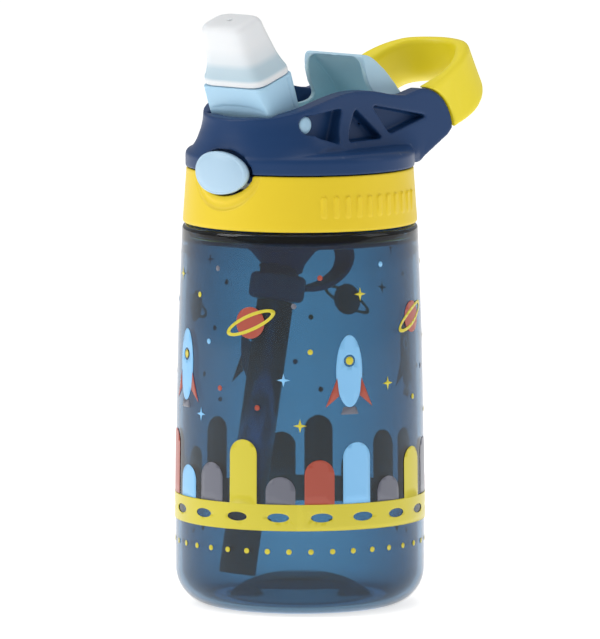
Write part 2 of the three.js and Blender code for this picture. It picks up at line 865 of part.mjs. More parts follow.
const assembly = new THREE.Group();
assembly.add(
  piece('bottle_body', bottleBody(), finish.tritan),
  piece('lid_gasket', lidGasket(), finish.silicone),
  piece('screw_collar', screwCollar(), finish.yellow),
  piece('lid_base', lidBase(), finish.navy),
  piece('lid_shell', lidShell(), finish.navy),
  piece('carry_loop', carryLoop(), finish.loopYellow),
  piece('flow_tube', flowTube(), finish.navy),
  piece('spout_seat_seal', seatSeal(), finish.silicone),
  piece('spout_pin_left', spoutPin(-1), finish.sky),
  piece('spout_pin_right', spoutPin(1), finish.sky),
  piece('spout_spring', spoutSpring(), finish.steel),
  piece('flip_cover', flipCover(), finish.sky),
  piece('cover_pin_left', coverPin(-1), finish.steel),
  piece('cover_pin_right', coverPin(1), finish.steel),
  piece('cover_spring', coverSpring(), finish.steel),
  piece('button_cap', buttonCap(), finish.sky),
  piece('latch_slider', latchSlider(), finish.navy),
  piece('button_spring', buttonSpring(), finish.steel),
  piece('straw_connector', strawConnector(), finish.navy),
  piece('straw_tube', strawTube(), finish.strawClear),
  piece('vent_valve', ventValve(), finish.silicone),
  piece('vent_tether', ventTether(), finish.silicone),
  spout,
);

// The footprint runs from the button's face to the back of the loop.
const frontmost = -bottleRadius;
const rearmost = loopCentreY + loopHalfWidth;
assembly.position.y = -(frontmost + rearmost) / 2;

const bottle = new THREE.Group();
bottle.add(assembly);

export default bottle;
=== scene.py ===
# %% [markdown]
# # A child's straw bottle
# The bottle is a translucent blue cup with a screw lid. The lid carries a folding silicone
# spout, a hood that closes over it, a release button and a carry loop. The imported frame
# already fixes where every piece sits and how it moves, so this notebook only gives the
# pieces their fine moulded surfaces, their print and their finishes.

# %% Load the frame
import math

import bmesh
import bpy
from mathutils import Matrix, Vector
from mathutils.geometry import tessellate_polygon


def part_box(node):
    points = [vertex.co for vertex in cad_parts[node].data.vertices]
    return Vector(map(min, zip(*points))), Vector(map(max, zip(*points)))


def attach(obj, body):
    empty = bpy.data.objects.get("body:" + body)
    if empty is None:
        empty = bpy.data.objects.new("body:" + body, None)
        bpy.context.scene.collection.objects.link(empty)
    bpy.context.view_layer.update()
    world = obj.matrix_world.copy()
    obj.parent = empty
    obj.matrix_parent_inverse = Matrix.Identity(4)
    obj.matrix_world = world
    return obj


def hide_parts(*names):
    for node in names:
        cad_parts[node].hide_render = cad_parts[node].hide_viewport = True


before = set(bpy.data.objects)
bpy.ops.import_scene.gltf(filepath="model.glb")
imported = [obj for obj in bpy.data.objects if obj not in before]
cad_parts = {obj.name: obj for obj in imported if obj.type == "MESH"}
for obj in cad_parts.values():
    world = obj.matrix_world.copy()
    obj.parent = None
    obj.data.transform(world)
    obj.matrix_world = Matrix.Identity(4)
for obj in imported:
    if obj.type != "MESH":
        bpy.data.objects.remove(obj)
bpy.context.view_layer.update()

# %% [markdown]
# ## Measures
# A maker would draw this bottle in millimetres with the bottle's own axis as the centre
# line, so the helpers below do the same and one matrix carries each finished mesh into the
# frame. The axis, the heights and the pivots are read from the frame's boxes and joints.

# %% Read the driving sizes from the frame
MM = 0.001
body_low, body_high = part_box("bottle_body")
axis_y = (body_low[1] + body_high[1]) / 2
into_frame = Matrix.Translation((0, axis_y, 0)) @ Matrix.Scale(MM, 4)


def span(node):
    """A node's lowest and highest corner in millimetres from the bottle's axis."""
    low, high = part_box(node)
    return [[low[0] / MM, (low[1] - axis_y) / MM, low[2] / MM],
            [high[0] / MM, (high[1] - axis_y) / MM, high[2] / MM]]


def middle(node, axis):
    low, high = span(node)
    return (low[axis] + high[axis]) / 2


bottle_radius = span("bottle_body")[1][0]
neck_top = span("bottle_body")[1][2]
collar_low, collar_high = span("screw_collar")[0][2], span("screw_collar")[1][2]
spout_pivot = (middle("spout_pin_right", 1), middle("spout_pin_right", 2))
cover_hinge = (middle("cover_pin_right", 1), middle("cover_pin_right", 2))
button_z = middle("button_cap", 2)
print(f"radius {bottle_radius:.1f}, neck top {neck_top:.1f}")
print(f"collar {collar_low:.1f} to {collar_high:.1f}")
print("spout pivot", spout_pivot, "cover hinge", cover_hinge)

# %% [markdown]
# ## Outlines
# Moulded plastic has no sharp corner: the tool's cutter leaves a radius on each one. So an
# outline is written as its few corner points, each with its own radius, and a helper turns
# every corner into a short curve.

# %% Outline helpers


def rounded(points, steps=6, closed=True):
    """Corner points (u, v, radius) as a list of (u, v) with each corner rounded."""
    result = []
    count = len(points)
    for i, point in enumerate(points):
        corner = Vector(point[:2])
        radius = point[2] if len(point) > 2 else 0
        at_end = not closed and i in (0, count - 1)
        if radius == 0 or at_end:
            result.append(tuple(corner))
            continue
        back = Vector(points[i - 1][:2]) - corner
        ahead = Vector(points[(i + 1) % count][:2]) - corner
        reach = min(radius, back.length * 0.48, ahead.length * 0.48)
        start = corner + back.normalized() * reach
        end = corner + ahead.normalized() * reach
        for k in range(steps + 1):
            t = k / steps
            result.append(tuple(start * (1 - t) ** 2 + corner * 2 * t * (1 - t) + end * t * t))
    return result


def rounded_box(u0, u1, v0, v1, radius, steps):
    """A rectangle with four equal round corners."""
    return rounded([(u0, v0, radius), (u1, v0, radius), (u1, v1, radius), (u0, v1, radius)], steps)


def arc(u, v, radius, first, last, steps):
    """Points of an arc, angles in degrees."""
    turn = [math.radians(first + (last - first) * k / steps) for k in range(steps + 1)]
    return [(u + radius * math.cos(a), v + radius * math.sin(a)) for a in turn]


def smooth_line(points, steps=8):
    """A Catmull-Rom curve through points of any dimension."""
    nodes = [Vector(p) for p in points]
    nodes = [2 * nodes[0] - nodes[1], *nodes, 2 * nodes[-1] - nodes[-2]]
    line = []
    for a, b, c, d in zip(nodes, nodes[1:], nodes[2:], nodes[3:]):
        for k in range(steps):
            t = k / steps
            line.append(0.5 * (2 * b + (c - a) * t + (2 * a - 5 * b + 4 * c - d) * t * t
                               + (3 * b - a - 3 * c + d) * t ** 3))
    line.append(nodes[-2])
    return line


# %% [markdown]
# ## Solids
# Three ways of making a solid cover the whole bottle. Turned pieces are spun around an
# axis, as on a lathe. Lofted pieces are a skin over a stack of rings. Cut pieces start as
# flat outlines pushed through space and are joined and cut with booleans. A cut piece then
# gets a fine voxel remesh and a few smoothing passes, which melt its edges into the soft
# fillets of an injection mould.

# %% Solid helpers


def mesh_object(name, bm, matrix=into_frame):
    """Turn a bmesh in millimetres into a smooth-shaded object in the frame."""
    bmesh.ops.remove_doubles(bm, verts=bm.verts, dist=1e-5)
    bmesh.ops.recalc_face_normals(bm, faces=bm.faces)
    mesh = bpy.data.meshes.new(name)
    bm.to_mesh(mesh)
    bm.free()
    mesh.transform(matrix)
    mesh.polygons.foreach_set("use_smooth", [True] * len(mesh.polygons))
    piece = bpy.data.objects.new(name, mesh)
    bpy.context.collection.objects.link(piece)
    return piece


def turned(profile, segments=192, centre=(0, 0), bend=None):
    """Spin points (radius, height) around Z. bend(radius, angle, height) may move a point."""
    bm = bmesh.new()
    rings = []
    for r, z in profile:
        if r < 1e-6:
            rings.append([bm.verts.new((centre[0], centre[1], z))])
            continue
        ring = []
        for k in range(segments):
            angle = 2 * math.pi * k / segments
            rr = bend(r, angle, z) if bend else r
            ring.append(bm.verts.new((centre[0] + rr * math.cos(angle),
                                      centre[1] + rr * math.sin(angle), z)))
        rings.append(ring)
    closed = len(rings[0]) > 1
    pairs = list(zip(rings, rings[1:])) + ([(rings[-1], rings[0])] if closed else [])
    for low, high in pairs:
        for k in range(segments):
            j = (k + 1) % segments
            corners = list(dict.fromkeys([low[k % len(low)], low[j % len(low)],
                                          high[j % len(high)], high[k % len(high)]]))
            if len(corners) > 2:
                bm.faces.new(corners)
    return bm


def lofted(rings):
    """A closed skin over rings of equal point count."""
    bm = bmesh.new()
    rows = [[bm.verts.new(p) for p in ring] for ring in rings]
    count = len(rows[0])
    for low, high in zip(rows, rows[1:]):
        for k in range(count):
            j = (k + 1) % count
            bm.faces.new((low[k], low[j], high[j], high[k]))
    for row in (rows[0], rows[-1]):
        centre = bm.verts.new(sum((v.co for v in row), Vector()) / count)
        for k in range(count):
            bm.faces.new((row[k], row[(k + 1) % count], centre))
    return bm


def pushed(points, start, end, plane):
    """Push an outline through space: plane "yz" runs along X, "xz" along Y, "xy" along Z."""
    place = {"yz": lambda u, v, w: (w, u, v),
             "xz": lambda u, v, w: (u, w, v),
             "xy": lambda u, v, w: (u, v, w)}[plane]
    bm = bmesh.new()
    first = [bm.verts.new(place(u, v, start)) for u, v in points]
    last = [bm.verts.new(place(u, v, end)) for u, v in points]
    count = len(points)
    for k in range(count):
        j = (k + 1) % count
        bm.faces.new((first[k], first[j], last[j], last[k]))
    flat = [Vector((u, v, 0)) for u, v in points]
    for a, b, c in tessellate_polygon([flat]):
        bm.faces.new((first[a], first[b], first[c]))
        bm.faces.new((last[a], last[b], last[c]))
    return bm


def rod(start, end, radius, sides=48):
    """A round bar between two points."""
    a, b = Vector(start), Vector(end)
    bm = bmesh.new()
    turn = (b - a).to_track_quat("Z", "Y").to_matrix().to_4x4()
    bmesh.ops.create_cone(bm, cap_ends=True, segments=sides, radius1=radius, radius2=radius,
                          depth=(b - a).length,
                          matrix=Matrix.Translation((a + b) / 2) @ turn)
    return bm


def slab(low, high):
    bm = bmesh.new()
    size = Vector(high) - Vector(low)
    matrix = Matrix.Translation((Vector(high) + Vector(low)) / 2) @ Matrix.Diagonal((*size, 1))
    bmesh.ops.create_cube(bm, size=1, matrix=matrix)
    return bm


def applied(piece):
    """Apply a piece's modifiers to its mesh."""
    graph = bpy.context.evaluated_depsgraph_get()
    mesh = bpy.data.meshes.new_from_object(piece.evaluated_get(graph))
    piece.modifiers.clear()
    old = piece.data
    piece.data = mesh
    mesh.name = piece.name
    bpy.data.meshes.remove(old)
    return piece


def combined(piece, operation, *tools):
    """Join, cut or keep the common part of a piece and several bmesh tools, in millimetres."""
    for bm in tools:
        tool = mesh_object("tool", bm, Matrix.Identity(4))
        boolean = piece.modifiers.new("boolean", "BOOLEAN")
        boolean.operation = operation
        boolean.solver = "EXACT"
        boolean.object = tool
        applied(piece)
        mesh = tool.data
        bpy.data.objects.remove(tool)
        bpy.data.meshes.remove(mesh)
    return piece


def blank(name, bm):
    """A bmesh as an object still in millimetres, ready for booleans."""
    return mesh_object(name, bm, Matrix.Identity(4))


def moulded(piece, grain=0.42, passes=6):
    """Remesh a cut piece finely and melt its edges, then carry it into the frame."""
    remesh = piece.modifiers.new("remesh", "REMESH")
    remesh.mode = "VOXEL"
    remesh.voxel_size = grain
    melt = piece.modifiers.new("melt", "SMOOTH")
    melt.factor = 0.5
    melt.iterations = passes
    applied(piece)
    piece.data.transform(into_frame)
    piece.data.polygons.foreach_set("use_smooth", [True] * len(piece.data.polygons))
    print(piece.name, len(piece.data.polygons), "faces")
    return piece


# %% [markdown]
# ## Finishes
# Every moulded surface shares the same small faults: a fine spark-eroded grain from the
# tool, and broad, faint patches where the gloss is a little higher. Both are made once as
# node groups and placed in each material with its own strength. The groups only give out
# masks and heights, so each material keeps its own Principled shader.

# %% Shared node groups


def new_group(name, inputs, outputs):
    group = bpy.data.node_groups.new(name, "ShaderNodeTree")
    for label, kind, value in inputs:
        socket = group.interface.new_socket(label, in_out="INPUT", socket_type=kind)
        socket.default_value = value
    for label, kind in outputs:
        group.interface.new_socket(label, in_out="OUTPUT", socket_type=kind)
    source = group.nodes.new("NodeGroupInput")
    target = group.nodes.new("NodeGroupOutput")
    return group, source, target


def noise(group, place, scale, detail=3):
    node = group.nodes.new("ShaderNodeTexNoise")
    node.inputs["Scale"].default_value = scale
    node.inputs["Detail"].default_value = detail
    group.links.new(place, node.inputs["Vector"])
    return node


def math_node(group, operation, a, b, clamp=False):
    node = group.nodes.new("ShaderNodeMath")
    node.operation = operation
    node.use_clamp = clamp
    for socket, value in zip(node.inputs, (a, b)):
        if isinstance(value, (int, float)):
            socket.default_value = value
        else:
            group.links.new(value, socket)
    return node.outputs[0]


def moulding_group():
    """Tool grain as a height, and broad gloss patches as a roughness."""
    group, source, target = new_group(
        "moulding",
        [("Roughness", "NodeSocketFloat", 0.4), ("Patches", "NodeSocketFloat", 0.05),
         ("Grain", "NodeSocketFloat", 0.5)],
        [("Roughness", "NodeSocketFloat"), ("Height", "NodeSocketFloat"),
         ("Shade", "NodeSocketFloat")])
    place = group.nodes.new("ShaderNodeTexCoord").outputs["Object"]
    broad = noise(group, place, 55).outputs["Fac"]
    fine = noise(group, place, 3200, 2).outputs["Fac"]
    swing = math_node(group, "MULTIPLY", math_node(group, "SUBTRACT", broad, 0.5),
                      source.outputs["Patches"])
    group.links.new(math_node(group, "ADD", swing, source.outputs["Roughness"], True),
                    target.inputs["Roughness"])
    group.links.new(math_node(group, "MULTIPLY", fine, source.outputs["Grain"]),
                    target.inputs["Height"])
    group.links.new(broad, target.inputs["Shade"])
    return group


# The edge group masks convex edges, where a painted highlight lightens the colour.
def edge_group():
    """A mask of the convex edges, where a painted highlight lightens the plastic."""
    group, source, target = new_group(
        "painted edge highlight", [("Amount", "NodeSocketFloat", 1.0)], [("Mask", "NodeSocketFloat")])
    geometry = group.nodes.new("ShaderNodeNewGeometry")
    ramp = group.nodes.new("ShaderNodeMapRange")
    ramp.inputs["From Min"].default_value = 0.515
    ramp.inputs["From Max"].default_value = 0.62
    group.links.new(geometry.outputs["Pointiness"], ramp.inputs["Value"])
    group.links.new(math_node(group, "MULTIPLY", ramp.outputs[0], source.outputs["Amount"]),
                    target.inputs["Mask"])
    return group


moulding = moulding_group()
edge_highlight_group = edge_group()
print("groups:", moulding.name, edge_highlight_group.name)


# %% Materials


def linear(color):
    """An sRGB hex colour as linear red, green, blue and 1."""
    values = [int(color[i:i + 2], 16) / 255 for i in (0, 2, 4)]
    curve = [v / 12.92 if v <= 0.04045 else ((v + 0.055) / 1.055) ** 2.4 for v in values]
    return (*curve, 1.0)


def mixed(tree, factor, a, b):
    """Mix two colours. Each is a socket or a fixed value."""
    mix = tree.nodes.new("ShaderNodeMix")
    mix.data_type = "RGBA"
    tree.links.new(factor, mix.inputs["Factor"])
    for label, value in (("A", a), ("B", b)):
        if isinstance(value, tuple):
            mix.inputs[label].default_value = value
        else:
            tree.links.new(value, mix.inputs[label])
    return mix.outputs["Result"]


# pale colour of the painted highlight on convex edges
EDGE_HIGHLIGHT_COLOR = (0.9, 0.92, 0.95, 1)


def plastic(name, color, shade, roughness, grain=0.4, patches=0.08, edge=0.0, bump=0.02,
            subsurface=0.0, specular=0.5):
    """A moulded plastic: its colour drifts slightly to shade, and its convex edges to a lighter
    tone, a painted highlight.
    """
    material = bpy.data.materials.new(name)
    material.use_nodes = True
    tree = material.node_tree
    shader = tree.nodes["Principled BSDF"]
    shader.inputs["Specular IOR Level"].default_value = specular
    surface = tree.nodes.new("ShaderNodeGroup")
    surface.node_tree = moulding
    surface.inputs["Roughness"].default_value = roughness
    surface.inputs["Patches"].default_value = patches
    surface.inputs["Grain"].default_value = grain
    result = mixed(tree, surface.outputs["Shade"], linear(color), linear(shade))
    # painted highlight: convex edges are mixed towards a pale colour
    if edge:
        highlight_node = tree.nodes.new("ShaderNodeGroup")
        highlight_node.node_tree = edge_highlight_group
        highlight_node.inputs["Amount"].default_value = edge
        result = mixed(tree, highlight_node.outputs["Mask"], result, EDGE_HIGHLIGHT_COLOR)
    tree.links.new(result, shader.inputs["Base Color"])
    tree.links.new(surface.outputs["Roughness"], shader.inputs["Roughness"])
    height = tree.nodes.new("ShaderNodeBump")
    height.inputs["Strength"].default_value = bump
    height.inputs["Distance"].default_value = 0.0002
    tree.links.new(surface.outputs["Height"], height.inputs["Height"])
    tree.links.new(height.outputs["Normal"], shader.inputs["Normal"])
    if subsurface:
        shader.inputs["Subsurface Weight"].default_value = subsurface
        shader.inputs["Subsurface Radius"].default_value = (1.0, 0.9, 0.85)
        shader.inputs["Subsurface Scale"].default_value = 0.004
    return material


def see_through(name, tint, deep, roughness, ior=1.5, patches=0.02):
    """A clear tinted plastic. The tint is what one wall's surface lets through."""
    material = plastic(name, tint, deep, roughness, grain=0.3, patches=patches, bump=0.01)
    shader = material.node_tree.nodes["Principled BSDF"]
    shader.inputs["Transmission Weight"].default_value = 1.0
    shader.inputs["IOR"].default_value = ior
    return material


# the navy's convex edges get a faint painted highlight (edge=0.03)
navy = plastic("navy plastic", "1A3862", "1E3D68", 0.36, edge=0.03, specular=0.2)
collar_yellow = plastic("collar yellow", "E9CC22", "E4C51E", 0.4, subsurface=0.08, specular=0.4)
loop_yellow = plastic("loop yellow", "EFDD22", "E8D41E", 0.42, subsurface=0.08)
sky_plastic = plastic("sky plastic", "A9CFE6", "A0C8E2", 0.38, subsurface=0.12)
pale_sky = plastic("pale sky plastic", "B0CDE2", "A9C8DE", 0.36, subsurface=0.12)
steel = plastic("spring steel", "B9BDC2", "A7ABB0", 0.28, bump=0.05)
steel.node_tree.nodes["Principled BSDF"].inputs["Metallic"].default_value = 1.0
clear_blue = see_through("clear blue plastic", "6D9EB8", "699AB5", 0.03, ior=1.4)


def darker_edges(material, deep, blend):
    """Seen edge-on, a tinted wall has more plastic in the way, so its colour deepens."""
    tree = material.node_tree
    base = tree.nodes["Principled BSDF"].inputs["Base Color"]
    facing = tree.nodes.new("ShaderNodeLayerWeight")
    facing.inputs["Blend"].default_value = blend
    tree.links.new(mixed(tree, facing.outputs["Facing"], base.links[0].from_socket,
                         linear(deep)), base)


darker_edges(clear_blue, "183460", 0.58)
print("materials made:", len(bpy.data.materials))

# %% [markdown]
# ## The bottle
# The bottle is blow-moulded from clear tinted plastic. It could be a single cylinder with
# a glass material, but then it would refract like a solid block. So it is turned from one
# profile that runs up the outside, over the rim and down the inside, with a hollow dome
# under it, and the thread on the neck is raised by a formula while the rings are spun.

# %% Turn the bottle
WALL = 1.8
FOOT_RADIUS = 25.5
CORNER = bottle_radius - FOOT_RADIUS
NECK_RADIUS = 30.9
THREAD = {"first": 114.2, "lead": 8.0, "turn": 3.6, "height": 0.95, "half": 0.75}


def side_radius(z):
    """Radius of the bottle's outer wall: it narrows slightly towards the shoulder."""
    heights = [CORNER, 30, 58, 80, 106, 110]
    radii = [bottle_radius, bottle_radius, 36.2, 35.7, 34.7, 34.5]
    for z0, z1, r0, r1 in zip(heights, heights[1:], radii, radii[1:]):
        if z <= z1:
            t = max(0.0, (z - z0) / (z1 - z0))
            return r0 + (r1 - r0) * t
    return radii[-1]


def with_thread(radius, angle, z):
    """Raise two helical ridges on the neck's outer wall."""
    if abs(radius - NECK_RADIUS) > 0.01:
        return radius
    best = 0.0
    for start in (0, math.pi):
        along = (angle - start) % (2 * math.pi)
        if along < THREAD["turn"]:
            middle_z = THREAD["first"] + THREAD["lead"] * along / (2 * math.pi)
            flank = (THREAD["half"] - abs(z - middle_z)) / 0.4
            ends = min(along, THREAD["turn"] - along) * 6
            best = max(best, min(1, flank, ends))
    return radius + THREAD["height"] * best


outside = [(0, 6.5)]
outside += rounded([(9, 6.5), (9.1, 6.5, 1), (13.5, 5.4, 3), (17.5, 2.6, 3), (20.5, 0, 1.5),
                    (FOOT_RADIUS - 0.1, 0)], closed=False)
outside += arc(FOOT_RADIUS, CORNER, CORNER, -90, 0, 24)
outside += [(side_radius(z), z) for z in range(14, 107, 3)]
outside += rounded([(34.65, 107), (34.5, 111.9, 3.2), (NECK_RADIUS + 0.4, 111.9)], 10, False)
thread_rows = [113 + 0.25 * k for k in range(30)]
outside += [(NECK_RADIUS, 112.2)] + [(NECK_RADIUS, z) for z in thread_rows]
lip = rounded([(NECK_RADIUS, 122), (NECK_RADIUS, neck_top, 0.8),
               (NECK_RADIUS - WALL, neck_top, 0.8), (NECK_RADIUS - WALL, 112)], 5, False)
inside = rounded([(NECK_RADIUS - WALL, 111.8), (NECK_RADIUS - WALL, 110.6, 2),
                  (32.7, 108.5, 3), (32.85, 105)], 8, False)
inside += [(side_radius(z) - WALL, z) for z in range(104, 12, -4)]
inside += arc(FOOT_RADIUS, CORNER, CORNER - WALL, 0, -90, 20)
inside += rounded([(22, WALL), (21, WALL, 2), (18.6, 4.4, 3), (14.2, 7.2, 3), (9, 8.3)], 6, False)
bottle = mesh_object("bottle_shell", turned(outside + lip + inside + [(0, 8.3)], 192,
                                            bend=with_thread))
bottle.data.materials.append(clear_blue)
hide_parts("bottle_body")
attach(bottle, "bottle")
print("bottle", len(bottle.data.polygons), "faces")

# %% [markdown]
# ## The print
# The bottle is screen printed, one ink after another, on its outside. An image texture
# would blur and slide, so each ink is a real film: its flat shapes are drawn in
# millimetres along the wall and above the table, cut into narrow strips so that they can
# bend, wrapped around the bottle and given a thickness. The picture is a plain pattern
# made for this model: a dotted stripe, a row of round hills, and toy rockets, ringed
# planets, stars and dots that loops spread evenly around the wall.

# %% Flat shapes for the inks
FACING = math.radians(-47)  # the side of the bottle that the pattern starts from
STRIP = 2.0
ROUND_WAY = 2 * math.pi * bottle_radius
inks = {}


def ink(color, outline, *holes):
    inks.setdefault(color, []).append([outline, *holes])


def oval(u, z, a, b=None, tilt=0.0, steps=40):
    """An ellipse with half-axes a and b, turned by tilt degrees."""
    b = a if b is None else b
    c, s = math.cos(math.radians(tilt)), math.sin(math.radians(tilt))
    points = []
    for k in range(steps):
        x, y = a * math.cos(2 * math.pi * k / steps), b * math.sin(2 * math.pi * k / steps)
        points.append((u + c * x - s * y, z + s * x + c * y))
    return points


def star(color, u, z, r, waist=0.3, points=4):
    """A star whose inner corners stand at waist times its radius."""
    corners = []
    for k in range(2 * points):
        reach = r if k % 2 == 0 else r * waist
        turn = math.pi * (k / points + 0.5)
        corners.append((u + reach * math.cos(turn), z + reach * math.sin(turn)))
    ink(color, corners)


# %% Stripe and hills
STRIPE = (25.6, 33.3)
HOLES = 18
stripe_middle = sum(STRIPE) / 2
stripe_holes = [oval(ROUND_WAY * (k + 0.5) / HOLES, stripe_middle, 3.2, 1.3) for k in range(HOLES)]
ink("yellow", [(0, STRIPE[0]), (ROUND_WAY, STRIPE[0]), (ROUND_WAY, STRIPE[1]), (0, STRIPE[1])],
    *stripe_holes)
for k in range(2 * HOLES):
    ink("yellow", oval(ROUND_WAY * (k + 0.5) / (2 * HOLES), 19.5, 0.8))


def hill(color, u, half, height):
    """A round-topped hill that stands on the stripe."""
    top = STRIPE[1]
    crown = top + height - half
    ink(color, [(u - half, top), (u + half, top)] + arc(u, crown, half, 0, 180, 20))


HILLS = 20
HILL_COLORS = ("red", "sky", "grey", "yellow", "grey")
for k in range(HILLS):
    rise = 13 + 6 * math.sin(k * 2.2)
    hill(HILL_COLORS[k % len(HILL_COLORS)], ROUND_WAY * (k + 0.5) / HILLS, 4.4, rise)

# %% Rockets, planets, stars
REPEATS = 4


def rocket(u, z):
    """A toy rocket: an oval hull with a round window, two fins and a nozzle."""
    ink("sky", oval(u, z, 4.2, 10.5), oval(u, z + 3, 1.8))
    ink("yellow", oval(u, z + 3, 1.2))
    for side in (-1, 1):
        ink("red", [(u + side * 3.9, z - 2), (u + side * 7.5, z - 10.5), (u + side * 3.3, z - 7.2)])
    ink("grey", [(u - 2, z - 10.4), (u + 2, z - 10.4), (u + 2.8, z - 12.6), (u - 2.8, z - 12.6)])


def planet(u, z):
    """A plain disc with one tilted ring around it."""
    ink("red", oval(u, z, 4.6))
    ink("yellow", oval(u, z, 8.6, 2.5, 24, 64), oval(u, z, 7.2, 1.5, 24, 64))


motifs = []
for k in range(REPEATS):
    start = ROUND_WAY * k / REPEATS
    rocket(start + 15, 72)
    planet(start + 42, 86)
    motifs += [(start + 15, 72), (start + 42, 86)]

SPARKS = 76
GOLDEN = (math.sqrt(5) - 1) / 2
for k in range(SPARKS):
    u, z = ROUND_WAY * (k * GOLDEN % 1), 56 + 48 * (k + 0.5) / SPARKS
    if min(math.hypot(u - a, (z - b) * 0.8) for a, b in motifs) < 12.5:
        continue
    if k % 3 == 0:
        star(("yellow", "sky")[k % 2], u, z, 2.0)
    else:
        ink(("red", "sky", "yellow", "grey")[k % 4], oval(u, z, 0.8))
print({color: len(shapes) for color, shapes in inks.items()})

# %% Wrap each ink around the bottle
LAYERS = {"grey": 1, "sky": 2, "red": 3, "yellow": 4}
FILM = 0.035


def wrapped(name, shapes, layer):
    """Tessellate flat shapes, slice them into strips, bend them round and thicken them."""
    bm = bmesh.new()
    for loops in shapes:
        flat = [[Vector((u, z, 0)) for u, z in loop] for loop in loops]
        corners = [bm.verts.new(p) for loop in flat for p in loop]
        for a, b, c in tessellate_polygon(flat):
            if len({a, b, c}) == 3:
                bm.faces.new((corners[a], corners[b], corners[c]))
    lowest = min(v.co.x for v in bm.verts)
    highest = max(v.co.x for v in bm.verts)
    for k in range(math.ceil(lowest / STRIP), math.ceil(highest / STRIP)):
        bmesh.ops.bisect_plane(bm, geom=bm.verts[:] + bm.edges[:] + bm.faces[:],
                               plane_co=(k * STRIP, 0, 0), plane_no=(1, 0, 0))
    for z in range(12, 108, 3):
        bmesh.ops.bisect_plane(bm, geom=bm.verts[:] + bm.edges[:] + bm.faces[:],
                               plane_co=(0, z, 0), plane_no=(0, 1, 0))
    for face in bm.faces:
        face.normal_update()
        if face.normal.z < 0:
            face.normal_flip()
    under = FILM * layer

    def bend(v, lift):
        angle = FACING + v.co.x / bottle_radius
        radius = side_radius(v.co.y) + lift
        v.co = Vector((radius * math.cos(angle), radius * math.sin(angle), v.co.y))

    lower = bm.faces[:]
    upper = bmesh.ops.extrude_face_region(bm, geom=lower, use_keep_orig=True)["geom"]
    raised = {v for v in upper if isinstance(v, bmesh.types.BMVert)}
    for v in bm.verts:
        bend(v, under + FILM if v in raised else under)
    return mesh_object(name, bm)


INK_COLORS = {"yellow": ("D3C634", "CBBE2E"), "sky": ("86C2EE", "7CBBE9"),
              "red": ("A94A37", "A24433"), "grey": ("6B6D79", "646672")}
for color, shapes in inks.items():
    film = wrapped(f"print_{color}", shapes, LAYERS[color])
    film.data.materials.append(plastic(f"{color} ink", *INK_COLORS[color], 0.3, grain=0.2,
                                       patches=0.1, bump=0.01))
    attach(film, "bottle")
    print(film.name, len(film.data.polygons), "faces")

# %% [markdown]
# ## The screw collar
# The yellow collar screws the lid to the neck. It is one turned ring that narrows slightly
# upwards. The oval pocket for the button is cut through its front and the ring's outer face
# has a shallow crescent under that pocket, where a thumb reaches it. A row of equal
# raised ribs gives the hand a grip; a loop sets them around the ring.

# %% Make the collar
COLLAR_BORE = 32.2
BUTTON_HALF = span("button_cap")[1][0]


def collar_radius(z):
    """Outer radius of the collar, which narrows upwards."""
    t = (z - collar_low) / (collar_high - collar_low)
    return 34.35 + (33.2 - 34.35) * t


def upright_ellipse(a, b, z, steps=96):
    return [(a * math.cos(2 * math.pi * k / steps), z + b * math.sin(2 * math.pi * k / steps))
            for k in range(steps)]


collar_profile = rounded([
    (COLLAR_BORE, collar_low, 0.2), (collar_radius(collar_low), collar_low, 0.9),
    (collar_radius(collar_high), collar_high, 0.4), (COLLAR_BORE, collar_high, 0.2)])
collar = blank("collar", turned(collar_profile, 256))
pocket = pushed(upright_ellipse(BUTTON_HALF + 0.45, 6.8, button_z), -42, -26, "xz")
collar = combined(collar, "DIFFERENCE", pocket)
scoop_steps = 40
scoop_rings = []
for k in range(scoop_steps + 1):
    turn = math.pi * (1 + k / scoop_steps)
    x = (BUTTON_HALF + 2.6) * math.cos(turn)
    z = button_z + 0.5 + 10.2 * math.sin(turn)
    y = -math.sqrt(collar_radius(z) ** 2 - x * x)
    size = 0.25 + 1.35 * math.sin(math.pi * k / scoop_steps)
    scoop_rings.append([(x + size * 0.9 * math.cos(a) * math.cos(turn),
                         y - 0.55 * size * math.sin(a) - 0.15 * size,
                         z + size * 0.9 * math.cos(a) * math.sin(turn))
                        for a in [2 * math.pi * j / 16 for j in range(16)]])
collar = combined(collar, "DIFFERENCE", lofted(scoop_rings))
RIB_LOW, RIB_HIGH = 116.6, 122.6
RIB_WIDTH = 1.5
rib_radius = collar_radius((RIB_LOW + RIB_HIGH) / 2)
rib = rounded_box(-RIB_WIDTH / 2, RIB_WIDTH / 2, RIB_LOW, RIB_HIGH, 0.7, 5)
RIBS, RIB_STEP, FIRST_RIB = 11, 6.2, -125  # angles in degrees
for k in range(RIBS):
    bar = pushed(rib, rib_radius - 1.0, rib_radius + 0.38, "xz")
    bmesh.ops.rotate(bar, verts=bar.verts, cent=(0, 0, 0),
                     matrix=Matrix.Rotation(math.radians(FIRST_RIB + RIB_STEP * k), 3, "Z"))
    collar = combined(collar, "UNION", bar)
moulded(collar, 0.22, 3)
collar.data.materials.append(collar_yellow)
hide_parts("screw_collar")
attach(collar, "lid")

# %% [markdown]
# ## The lid shell
# The navy shell is the busiest moulding. A turned skirt sits on the collar. From it rise
# two arms that meet in a round nose, and behind the nose is a deep well for the spout.
# It could be modelled face by face, but booleans of a few plain solids keep every wall
# where the frame has it: a flared loft is kept only where it overlaps the arms' side
# outline, then the well, the truss windows, the pin holes and the button pocket are cut.

# %% Outlines of the lid shell
ARM_OUTER = 20.5
ARM_INNER = 15.3
NOSE_Y = -12
JUNCTION = (30.5, 137.0, 13.5)


